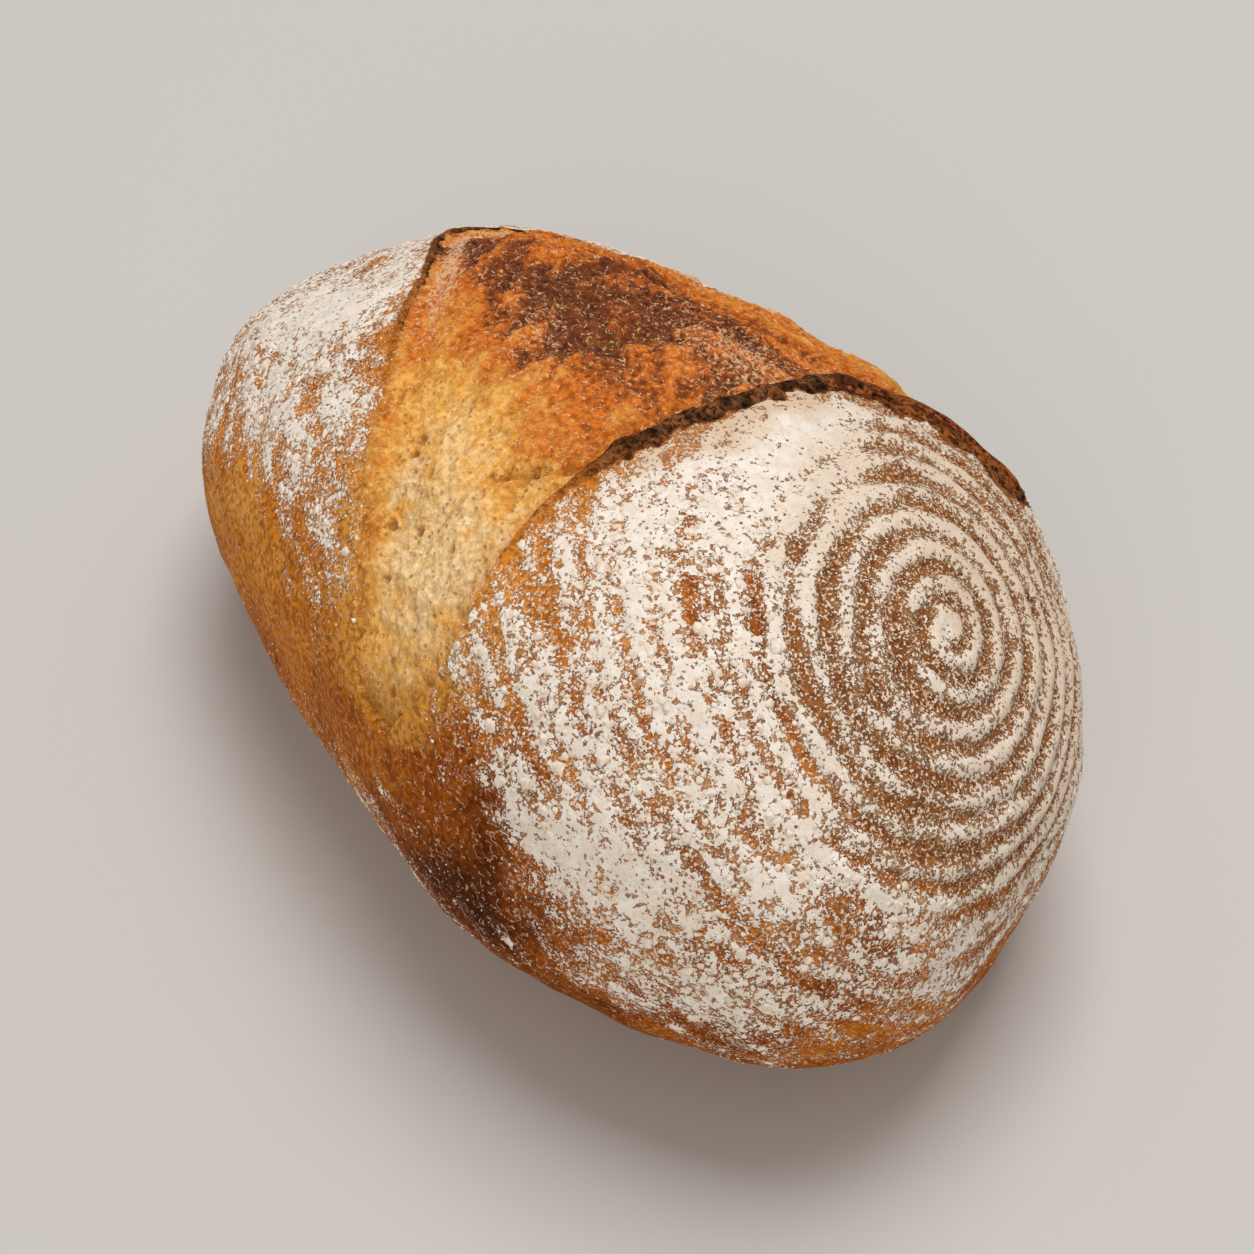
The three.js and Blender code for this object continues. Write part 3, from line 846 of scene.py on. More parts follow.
def paint(thing, name, values):
    """Keeps a number or a colour for each vertex as a named attribute of the mesh."""
    values = np.asarray(values, np.float32)
    if values.ndim == 1:
        layer = thing.data.attributes.new(name, "FLOAT", "POINT")
        layer.data.foreach_set("value", values)
    else:
        layer = thing.data.attributes.new(name, "FLOAT_COLOR", "POINT")
        opaque = np.concatenate([values, np.ones((len(values), 1), np.float32)], axis=1)
        layer.data.foreach_set("color", opaque.ravel())


print("the crust has", CRUST_COLUMNS, "columns round the loaf")

# %% [markdown]
# ## The crust, row by row
#
# Each function below adds the rows of one zone. Where the slash is closed, all the rows between
# the lips lie a hair apart on the plain crust, so the one grid needs no holes or seams.

# %% The crust's rows
CRAG_HEIGHT = 1.1
CRAG_SIZE = 3.4
EAR_HOLE_DEPTH = 1.5
KNOB_HEIGHT = 1.6
UNDER_EAR = 2.5
BAND_ROUGHNESS = 0.5
BAND_SINK = 0.3
BAND_HOLE_DEPTH = 1.2
SOFT_REACH = 11.0
STRIP_WIDTH = (15, 4)
# painted shade: how much darker the char is in the torn holes of the ear band
HOLE_SHADE = 0.7

# size in mm, seed, rim and bottom in cells, none and each
EAR_HOLES = (4.2, 75, 0.5, 0.1, 0.5, 0.7)
BAND_HOLES = (5.0, 77, 0.42, 0.18, 0.45, 0.55)


class Rows:
    """Rows of the crust as they are made: places, ball points and distances from the lips."""

    def __init__(self, count):
        self.count = count
        self.places, self.balls, self.from_far, self.from_wide, self.torn = [], [], [], [], []

    def keep(self, place, ball, from_far=FAR_AWAY, from_wide=FAR_AWAY, torn=0.0):
        """Keeps one row. A single number stands for the whole row."""
        self.places.append(place)
        self.balls.append(np.broadcast_to(ball, place.shape))
        self.from_far.append(np.broadcast_to(from_far, self.count))
        self.from_wide.append(np.broadcast_to(from_wide, self.count))
        self.torn.append(np.broadcast_to(torn, self.count))


def far_lobe_rows(rows, slash):
    """From the far tip to the far lip, closer together towards the lip."""
    for row in range(FAR_ROWS):
        share = 1 - (1 - (row + 1) / FAR_ROWS) ** FAR_ROW_POWER
        ball = between(FAR_TIP, slash.far_lip, np.full(rows.count, share))
        distance = angle(ball, slash.far_lip) * MM_PER_BALL
        lift = along(FAR_LIFT, slash.share) * slash.open * np.exp(-distance / FAR_RUN_BACK)
        rows.keep(raised(ball, lift + crust_relief(ball, dough(ball))), ball, from_far=distance)


def far_lip_rows(rows, slash):
    """A quarter turn down the far lip."""
    lip = slash.far_lip
    aim = between(lip, slash.wide_lip, np.full(rows.count, LIP_AIM))
    edge = crust_relief(lip, dough(lip))
    radius = along(FAR_ROLL, slash.share)
    for row in range(LIP_ROWS):
        turn = (row + 1) / LIP_ROWS * np.pi / 2
        out = (along(FAR_LIFT, slash.share) - radius * (1 - np.cos(turn))) * slash.open
        out = out + edge * (1 - slash.open * np.sin(turn))
        over = radius * np.sin(turn) * slash.open + CLOSED_STEP * (row + 1) * (1 - slash.open)
        rows.keep(from_lip(lip, aim, out, over), lip, from_far=0.0, torn=np.sin(turn))


def bed_rows(rows, slash):
    """The hidden bed under the crumb, which comes up to the plain crust where the slash is
    closed."""
    low = (CLOSED_STEP * (LIP_ROWS + 1) + LIP_MARGIN) / slash.width
    high = 1 - (CLOSED_STEP * (EAR_ROWS + 2) + LIP_MARGIN) / slash.width
    for row in range(BED_ROWS):
        across = low + (high - low) * row / (BED_ROWS - 1)
        ball = between(slash.far_lip, slash.wide_lip, across)
        place = dough(ball)
        bed = BED_DEPTH * ease(0, 0.15, across) * ease(0, 0.1, slash.open)
        relief = crust_relief(ball, place) * (1 - slash.open)
        height = crumb_height(slash, across, place) - bed + relief
        sides = np.minimum(across, 1 - across) * slash.width
        rows.keep(raised(ball, height), ball, from_far=sides, from_wide=sides)


def ear_rows(rows, slash):
    """Under the wide lip and round the ear's rim, with crags and torn holes."""
    lip = slash.wide_lip
    aim = between(slash.far_lip, lip, np.full(rows.count, 1 - LIP_AIM))
    place = dough(lip)
    edge = crust_relief(lip, place)
    under = (along(CRUMB_BY_EAR, slash.share) - UNDER_EAR) * slash.open + edge * (1 - slash.open)
    beside = LIP_MARGIN * slash.open + CLOSED_STEP * (EAR_ROWS + 1) * (1 - slash.open)
    rows.keep(from_lip(lip, aim, under, beside), lip, from_wide=0.0, torn=1.0)
    torn = 0.15 * ripple(place, 11, 5) + 0.08 * ripple(place, 6.5, 6)
    roll = along(EAR_ROLL, slash.share)
    craggy = ease(0.62, 0.5, slash.share)
    for row in range(EAR_ROWS):
        step = row / (EAR_ROWS - 1)
        turn = np.radians(EAR_FROM + EAR_SWEEP * step)
        smooth = along(EAR_REACH, slash.share) + roll * np.cos(turn)
        at = from_lip(lip, aim, along(EAR_LIFT, slash.share) - roll + roll * np.sin(turn), smooth)
        holes = EAR_HOLE_DEPTH * burst(at, *EAR_HOLES) * ease(0.5, 0.3, slash.share)
        knob = KNOB_HEIGHT * np.exp(-(((slash.share - KNOB_AT) / KNOB_REACH) ** 2))
        crags = CRAG_HEIGHT * clouds(at, CRAG_SIZE, 71, 4, 0.7) - holes
        rough = crags * (0.35 + 0.65 * craggy) * np.minimum(1, roll / 2) + knob
        rough = rough * np.sin(np.pi * min(step * 1.15, 1))
        radius = roll * (1 + torn * np.sin(np.pi * step)) + rough
        out = (along(EAR_LIFT, slash.share) - roll + radius * np.sin(turn)) * slash.open
        out = out + edge * (1 - slash.open * (1 - step))
        over = (along(EAR_REACH, slash.share) + radius * np.cos(turn)) * slash.open
        over = over + CLOSED_STEP * (EAR_ROWS - row) * (1 - slash.open)
        rows.keep(from_lip(lip, aim, out, over), lip, from_wide=0.0, torn=ease(1.0, 0.85, step))


def ear_band(share, from_wide, place):
    """The torn, scorched band under the wide lip, from 0 to 1, with a ragged lower edge."""
    ragged = from_wide + 1.3 * clouds(place, 5, 55, 3)
    return ease(1.0, -0.6, ragged - along(EAR_BAND, share))


def wide_lobe_rows(rows, slash):
    """From the ear to the middle of the rings, closer together where the rings are."""
    lip = slash.wide_lip
    whole = angle(lip, RING_CENTRE)
    zone = np.minimum(rings_end(ring_place(lip)[1]), whole * RING_ZONE_SHARE)
    steps = [whole + (zone - whole) * row / (SHOULDER_ROWS - 1) for row in range(SHOULDER_ROWS)]
    steps += [zone * (1 - (row + 1) / (RING_ROWS + 1)) for row in range(RING_ROWS)]
    for distance in steps:
        ball = between(RING_CENTRE, lip, distance / whole)
        from_edge = angle(ball, lip) * MM_PER_BALL
        lift = along(EAR_LIFT, slash.share) * slash.open * np.exp(-from_edge / EAR_RUN_BACK)
        place = dough(ball)
        band = ear_band(slash.share, from_edge, place) * along(EAR_SCORCH, slash.share) * slash.open
        band = band * ease(0.0, 2.0, from_edge)
        if band.any():
            rough = BAND_ROUGHNESS * clouds(place, 3.0, 79, 3)
            lift = lift + band * (rough - BAND_SINK - BAND_HOLE_DEPTH * burst(place, *BAND_HOLES))
        rows.keep(raised(ball, lift + crust_relief(ball, place)), ball, from_wide=from_edge)


def pole(ball):
    """The single place at an end of the grid."""
    ball = ball[None]
    return raised(ball, crust_relief(ball, dough(ball)))[0]


def strip_below_ear(ball, place, share, from_wide, opened):
    """Where flour is thin and brownish, from 0 to 1: just below the ear, and over the rings."""
    ragged = from_wide + 3 * clouds(place, 9, 59, 2)
    strip = ease(*STRIP_WIDTH, ragged) * along(EAR_SCORCH, share) * opened
    ring_strip = 0.25 + 0.5 * ring_side(ring_place(ball)[1], RINGS_FILLED)
    return np.maximum(strip, ring_strip * ring_wave(ball)[1])


def scorched_colour(place, share, holes):
    """The colour of char: browner towards the back tip, patchy, and darker in holes as painted
    shade.
    """
    char = np.broadcast_to(SCORCH_COLOUR, place.shape)
    char = toward(char, BACK_SCORCH_COLOUR, ease(0.42, 0.3, share))
    burn = 0.5 + 0.8 * clouds(place, 3.2, 57, 3)
    char = char * (1.35 - 1.0 * np.clip(burn, 0, 1))[:, None]
    # painted shade: the char is darker in the torn holes
    return char * (1 - HOLE_SHADE * holes)[:, None]


def paint_crust(crust, rows, slash):
    """Flour, bake, scorch with painted shade in its torn holes, and the soft lips, for each vertex.
    """
    count = len(rows.places)
    ball = np.concatenate([np.stack(rows.balls).reshape(-1, 3), FAR_TIP[None], RING_CENTRE[None]])
    place = dough(ball)
    from_far = with_ends(rows.from_far, FAR_AWAY)
    from_wide = with_ends(rows.from_wide, FAR_AWAY)
    share = with_ends(np.tile(slash.share, count), 0.0)
    opened = with_ends(np.tile(slash.open, count), 0.0)
    torn = with_ends(rows.torn, 0.0)
    on_rings = ring_wave(ball)[1]

    ragged = from_far + 0.8 * clouds(place, 4, 53, 2)
    far_scorch = along(FAR_SCORCH, share) * ease(2.6, 0.6, ragged)
    band = ear_band(share, from_wide, place)
    ear_scorch = along(EAR_SCORCH, share) * np.maximum(torn, band)
    scorch = np.maximum(far_scorch, ear_scorch) * opened
    strip = strip_below_ear(ball, place, share, from_wide, opened)
    soft = along(LIP_SOFT, share) * ease(0, 0.05, opened)
    from_edge = np.minimum(from_far, from_wide)
    near = soft * np.exp(-((from_edge / SOFT_REACH) ** 2)) * (1 - scorch)
    leaning = flour_leaning(ball, place) - 3.0 * scorch
    leaning = leaning - 0.9 * soft * np.exp(-from_edge / 8.0) - 0.6 * strip

    bake = patches(ball, BAKE_PATCHES, BAKE_BASE) + 0.09 * clouds(place, 14, 51, 3)
    # painted shade: where the torn holes of the ear band are darkened
    holes = band * burst(place, *BAND_HOLES) * ease(2.0, 4.0, from_wide)
    colour = toward(blend(CRUST_STOPS, bake), scorched_colour(place, share, holes), scorch)
    colour = colour + (lip_colour(share) - colour) * near[:, None]
    colour = toward(colour, RING_GAP_COLOUR, 0.8 * on_rings)
    paint(crust, "leaning", leaning)
    paint(crust, "bare", colour)
    paint(crust, "scorch", scorch)
    paint(crust, "strip", strip)
    paint(crust, "rings", on_rings)


def make_crust():
    """Builds the crust's rows one after another and joins them into one closed surface."""
    slash = Slash(column_turns(CRUST_COLUMNS))
    rows = Rows(CRUST_COLUMNS)
    far_lobe_rows(rows, slash)
    far_lip_rows(rows, slash)
    bed_rows(rows, slash)
    ear_rows(rows, slash)
    wide_lobe_rows(rows, slash)
    ends = np.stack([pole(FAR_TIP), pole(RING_CENTRE)])
    crust = grid_object("crust", settle(np.stack(rows.places)), settle(ends))
    paint_crust(crust, rows, slash)
    return crust


crust = make_crust()

# %% [markdown]
# ## The crumb
#
# The crumb is a closed lens of its own. Its top is much finer than the crust's grid, because
# it carries the pores, the torn folds and the scorched dome. Its edges dive under both lips.

# %% The crumb's grid
CRUMB_COLUMNS = 460
CRUMB_TOP_ROWS = 196
CRUMB_UNDER_ROWS = 12
CRUMB_TUCK = 2.2
CRUMB_THICKNESS = 9.0
CRUMB_ENDS = (0.004, 0.992)
END_SINK = 2.5
LIP_DIVE = 0.8
STREAK_RELIEF = 0.9
STREAK_NOISE = (8, 107, 4, 0.7)
PIT_DEPTH = 0.55
HOLE_DEPTH = 1.3

# size in mm, seed, rim and bottom in cells, none and each
SMALL_PITS = (2.7, 85, 0.55, 0.1, 0.35, 0.75)
LARGE_HOLES = (7.5, 88, 0.26, 0.1, 0.55, 0.65)

# place along the slash, across, long and short half sizes in mm, depth
PORES = {
    "golden pore": (0.687, 0.744, 2.8, 0.6, 1.6),
    "tear hole": (0.665, 0.827, 3.4, 0.7, 2.0),
    "small hole": (0.639, 0.91, 2.2, 0.6, 1.5),
    "edge hole": (0.70, 0.10, 1.8, 0.7, 1.4),
    "slope hole": (0.74, 0.42, 1.6, 0.6, 1.3),
}

# place along the slash, across, reach along, reach across, amount
CRUMB_BAKE = {
    "dome": (0.500, 0.44, 0.090, 0.46, 0.50),
    "dome right": (0.40, 0.72, 0.09, 0.28, 0.27),
    "back": (0.28, 0.45, 0.12, 0.60, 0.30),
    "far band": (0.58, 0.14, 0.20, 0.14, 0.16),
    "right edge": (0.50, 1.00, 0.12, 0.18, 0.22),
    "dome crest": (0.375, 0.60, 0.055, 0.42, 0.24),
    "cream slope": (0.79, 0.80, 0.09, 0.35, -0.21),
    "valley": (0.80, 0.42, 0.12, 0.36, -0.27),
    # painted shade along the valley groove by the far lip
    "painted shade in the valley": (0.83, 0.08, 0.11, 0.08, 0.14),
}
CRUMB_BAKE_BASE = 0.33
CRUMB_DUST = {
    "by the ear": (0.41, 0.85, 0.09, 0.20, 0.55),
    "dome front": (0.55, 0.50, 0.05, 0.13, 0.40),
}


def pore_depths(slash, across):
    """The named pores: bell-shaped holes, each longer along the slash than across."""
    depths = 0
    for at, middle, long_half, short_half, depth in PORES.values():
        u = (slash.share - at) * SLASH_LENGTH / long_half
        v = (across - middle) * slash.width / short_half
        depths = depths + depth * np.exp(-(u * u + v * v))
    return depths


def crumb_grain(place, soft):
    """The crumb's own grain in mm: lumps, holes and small pits, more where it is soft. Also
    how deep in a pit or hole a place is, from 0 to 1, which is painted as shade."""
    pits = burst(place, *SMALL_PITS)
    holes = burst(place, *LARGE_HOLES)
    grain = 0.35 * clouds(place, 6, 81, 3) + 0.22 * clouds(place, 2.0, 83, 2)
    grain = grain + 0.4 * clouds(place, 4.5, 91, 4, 0.7) * (1 - soft)
    grain = grain - PIT_DEPTH * pits * soft - HOLE_DEPTH * holes * soft
    return grain, np.maximum(pits * 0.5, holes)


def crumb_soft(share, across):
    """Where the crumb is still soft and open, from 0 to 1: the front part of the slash."""
    return ease(0.55, 0.70, share + 0.10 * (across - 0.5))


def streak_place(share, width):
    """A place for noise that draws grain out along the burst, askew to the slash."""
    run = share * SLASH_LENGTH
    return np.stack([0.30 * run - 0.27 * width, 0.67 * run + 0.74 * width, 0 * run], axis=-1)


def crumb_top_row(slash, across, sunk):
    """One row of the top, from back to front: its places, and how much painted shade its pits,
    pores and tears get.
    """
    ball = between(slash.far_lip, slash.wide_lip, across)
    place = dough(ball)
    inside = np.clip(across, 0, 1)
    dive = LIP_DIVE * np.abs(across - inside) * slash.width
    soft = crumb_soft(slash.share, across)
    grain, pit = crumb_grain(place, soft)
    streaks = streak_place(slash.share, across * slash.width)
    streaks = STREAK_RELIEF * np.tanh(1.5 * clouds(streaks, *STREAK_NOISE))
    torn = ease(0.66, 0.56, slash.share) * ease(-0.02, 0.1, across) * ease(1.02, 0.9, across)
    pores = pore_depths(slash, across)
    fine = (grain - streaks * torn - pores) * slash.open
    tears = 0.3 * fold_depth(slash, across) * ease(0.0, 0.3, clouds(place, 2.5, 93, 2))
    height = crumb_height(slash, inside, place) - dive - sunk + fine
    # the second value is painted shade: in pits and holes, named pores and tears
    return raised(ball, height), np.maximum(pit * soft, np.maximum(0.6 * pores, tears))


def crumb_under_row(slash, across):
    """One row of the underside, a fixed thickness below the top."""
    ball = between(slash.far_lip, slash.wide_lip, across)
    height = crumb_height(slash, np.clip(across, 0, 1), dough(ball)) - CRUMB_THICKNESS
    return raised(ball, height), 0 * across


def make_crumb():
    """Carries a closed loop of rows along the slash: the top from lip to lip, then back
    underneath, with a single point at each end."""
    even = np.linspace(*CRUMB_ENDS, CRUMB_COLUMNS)
    slash = Slash(np.radians(BACK_TIP + (FRONT_TIP - BACK_TIP) * even))
    low = -CRUMB_TUCK / slash.width
    high = 1 + CRUMB_TUCK / slash.width
    sunk = END_SINK * (1 - ease(0, 0.05, slash.share) * ease(0, 0.05, 1 - slash.share))
    acrosses, rows = [], []
    for row in range(CRUMB_TOP_ROWS):
        acrosses.append(low + (high - low) * row / (CRUMB_TOP_ROWS - 1))
        rows.append(crumb_top_row(slash, acrosses[-1], sunk))
    for row in range(CRUMB_UNDER_ROWS):
        acrosses.append(high + (low - high) * (row + 0.5) / CRUMB_UNDER_ROWS)
        rows.append(crumb_under_row(slash, acrosses[-1]))
    places, pits = zip(*rows)
    grid = np.stack(places).transpose(1, 0, 2)[:, ::-1]
    ends = np.stack([grid[0].mean(axis=0), grid[-1].mean(axis=0)])
    crumb = grid_object("crumb", grid, ends)
    paint_crumb(crumb, slash, np.stack(acrosses).T[:, ::-1], np.stack(pits).T[:, ::-1], grid)
    return crumb


def slash_patches(start, share, across, table):
    """The start, plus each patch's amount times a bell curve along and across the slash."""
    total = start
    for at, middle, reach_along, reach_across, amount in table.values():
        squares = ((share - at) / reach_along) ** 2 + ((across - middle) / reach_across) ** 2
        total = total + amount * np.exp(-squares)
    return total


def crumb_bake(slash, share, across, grid):
    """How browned the crumb is: its patches, one of them painted shade in the valley, darker
    torn folds, streaks and small mottles.
    """
    bake = slash_patches(CRUMB_BAKE_BASE, share, across, CRUMB_BAKE)
    folds = np.stack([fold_depth(slash, row) for row in across.T], axis=1)
    bake = bake + 0.13 * np.maximum(folds, 0) * ease(0.66, 0.6, share)
    streaks = clouds(streak_place(share, across * slash.width[:, None]), *STREAK_NOISE)
    contrast = 0.08 + 0.16 * ease(0.45, 0.75, bake)
    return bake + contrast * np.tanh(2 * streaks) + 0.07 * clouds(grid, 3.5, 103, 3, 0.8)


def paint_crumb(crumb, slash, across, pits, grid):
    """The crumb's bake, its colour, which it shares with the soft lips, painted shade where it
    dives under a hard lip, and its dust.
    """
    share = np.broadcast_to(slash.share[:, None], across.shape)
    width = slash.width[:, None]
    bake = crumb_bake(slash, share, across, grid)
    colours = blend(CRUMB_STOPS, bake)
    from_edge = np.minimum(across, 1 - across) * width
    near = along(LIP_SOFT, share) * np.exp(-np.maximum(from_edge, 0) / 4.5)
    near = np.maximum(near, ease(0.88, 0.99, share))
    colours = colours + (lip_colour(share) - colours) * near[..., None]
    # painted shade: within 3 mm of a lip that isn't soft, and under it, the crumb darkens to char
    # colour
    shade_under_lips = (1 - along(LIP_SOFT, share)) * ease(3.0, 0.0, from_edge)
    colours = toward(colours, SCORCH_COLOUR, 0.6 * shade_under_lips)
    far_dust = along(FAR_DUST, share) * np.exp(-(((across * width - 8) / 7.0) ** 2))
    dust = slash_patches(far_dust, share, across, CRUMB_DUST)

    ends = np.broadcast_to(TIP_COLOUR, (2, 3))
    paint(crumb, "bare", np.concatenate([colours.reshape(-1, 3), ends]))
    # painted shade in pits, holes, pores and tears
    paint(crumb, "pit", with_ends(pits, 0))
    paint(crumb, "soft", with_ends(crumb_soft(share, across), 0))
    paint(crumb, "bake", with_ends(bake, 0))
    paint(crumb, "dust", with_ends(dust, 0))


crumb = make_crumb()

# %% [markdown]
# ## Loose flour
#
# Where the flour thins out it stands on the crust in crumbling flakes, and the bare crust is
# sprinkled with single grains. Each one is a small closed plate with a ragged outline, and all
# of a kind are joined into one mesh. They are set on vertices of the crust, each with a chance
# that grows with the area round it and with the painted leaning towards flour.

# %% Where the loose flour lies


def crust_arrays():
    """The crust's places in mm, its normals, its painted amounts, and the area round each
    vertex."""
    mesh = crust.data
    count = len(mesh.vertices)
    places = np.empty(count * 3, np.float32)
    mesh.vertices.foreach_get("co", places)
    normals = np.empty(count * 3, np.float32)
    mesh.vertex_normals.foreach_get("vector", normals)
    painted = []
    for name in ("leaning", "rings", "strip"):
        painted.append(np.empty(count, np.float32))
        mesh.attributes[name].data.foreach_get("value", painted[-1])
    corners = np.empty(len(mesh.loops), np.int32)
    mesh.loops.foreach_get("vertex_index", corners)
    sizes = np.empty(len(mesh.polygons), np.int32)
    mesh.polygons.foreach_get("loop_total", sizes)
    areas = np.empty(len(mesh.polygons), np.float32)
    mesh.polygons.foreach_get("area", areas)
    around = np.bincount(corners, np.repeat(areas / sizes, sizes), count)
    return places.reshape(-1, 3) / MM + DOUGH_MIDDLE, normals.reshape(-1, 3), painted, around


print("the crust measures", round(float(crust_arrays()[3].sum()), 3), "square metres")

# %% Flakes and grains
GRAINS_ABOVE = 6.0
JITTER = 0.5
PLATE_SINK = 0.12
PLATE_ROOT = 0.35
PLATE_TOP = 0.78
PLATE_SHOULDER = 0.8
RAGGED_TURN = 0.3
RAGGED_REACH = (0.55, 1.25)


def scatter_plates(name, count, corners, seed, chance, sizes, heights):
    """Ragged low domes on the crust: an outline sunk a little into it, a smaller ring above,
    and a point on top and below. Sizes are the least, the mean and the most reach in mm, and
    heights are the height of the smallest and the rise for each mm of reach."""
    random = np.random.default_rng(seed)
    places, normals, painted, area = crust_arrays()
    weights = chance(*painted) * area * (places[:, 2] > GRAINS_ABOVE)
    picks = random.choice(len(places), count, replace=False, p=weights / weights.sum())
    normal = normals[picks]
    first = unit(np.cross(normal, random.normal(size=(count, 3))))
    second = np.cross(normal, first)
    jitter = random.uniform(-JITTER, JITTER, (count, 2))
    middle = places[picks] + first * jitter[:, :1] + second * jitter[:, 1:]
    least, mean, most = sizes
    size = np.minimum(least + random.exponential(mean - least, count), most)
    height = heights[0] + heights[1] * size * random.uniform(0.5, 1.0, count)
    wobble = random.uniform(-RAGGED_TURN, RAGGED_TURN, (count, corners))
    turn = TURN * (np.arange(corners) + wobble) / corners
    reach = size[:, None] * random.uniform(*RAGGED_REACH, (count, corners))

    def ring(scale, out):
        """Each plate's outline, scaled and moved out."""
        ahead = first[:, None] * np.cos(turn)[..., None]
        flat = ahead + second[:, None] * np.sin(turn)[..., None]
        risen = middle[:, None] + normal[:, None] * out
        return risen + flat * (reach * scale)[..., None]

    low = ring(1.0, -PLATE_SINK)
    high = ring(PLATE_TOP, (height * PLATE_SHOULDER)[:, None, None])
    top = (middle + normal * height[:, None])[:, None]
    bottom = (middle - normal * PLATE_ROOT)[:, None]
    vertices = np.concatenate([low, high, top, bottom], axis=1)
    corner = np.arange(corners)
    after = np.roll(corner, -1)
    top_index = np.full(corners, 2 * corners)
    triangles = np.concatenate([
        np.stack([corner, after, after + corners], axis=-1),
        np.stack([corner, after + corners, corner + corners], axis=-1),
        np.stack([corner + corners, after + corners, top_index], axis=-1),
        np.stack([after, corner, top_index + 1], axis=-1),
    ])
    indices = triangles[None] + vertices.shape[1] * np.arange(count)[:, None, None]
    sizes = np.full(count * len(triangles), 3)
    return mesh_object(name, vertices.reshape(-1, 3), indices.ravel(), sizes)


def near_edges(leaning, rings, strip):
    """The chance of a flake: where the coat of flour breaks up, but seldom on the rings and
    below the ear."""
    breaking = ease(-0.7, 0.0, leaning) * ease(0.7, 0.1, leaning)
    return breaking * (1 - 0.85 * rings) * ease(0.6, 0.2, strip)


def on_bare_crust(leaning, rings, strip):
    """The chance of a grain: on nearly bare crust, but not where it is clean."""
    nearly_bare = ease(-1.6, -0.6, leaning) * ease(0.6, -0.2, leaning)
    return nearly_bare * (1 - 0.4 * np.maximum(rings, strip))


# count, corners, seed, chance, sizes, heights
FLAKES = (6200, 8, 11, near_edges, (0.3, 0.62, 2.0), (0.16, 0.10))
GRAINS = (9800, 5, 12, on_bare_crust, (0.16, 0.26, 0.7), (0.1, 0.3))
flakes = scatter_plates("flour_flakes", *FLAKES)
grains = scatter_plates("flour_grains", *GRAINS)

# %% [markdown]
# ## Materials
#
# Both skins are dry and matte, so the principled shader with a high roughness does for them.
# What makes them look real is the grain: noise in object coordinates breaks the flour's edge,
# mottles the crust and lifts it with bump.

# %% Helpers for node trees


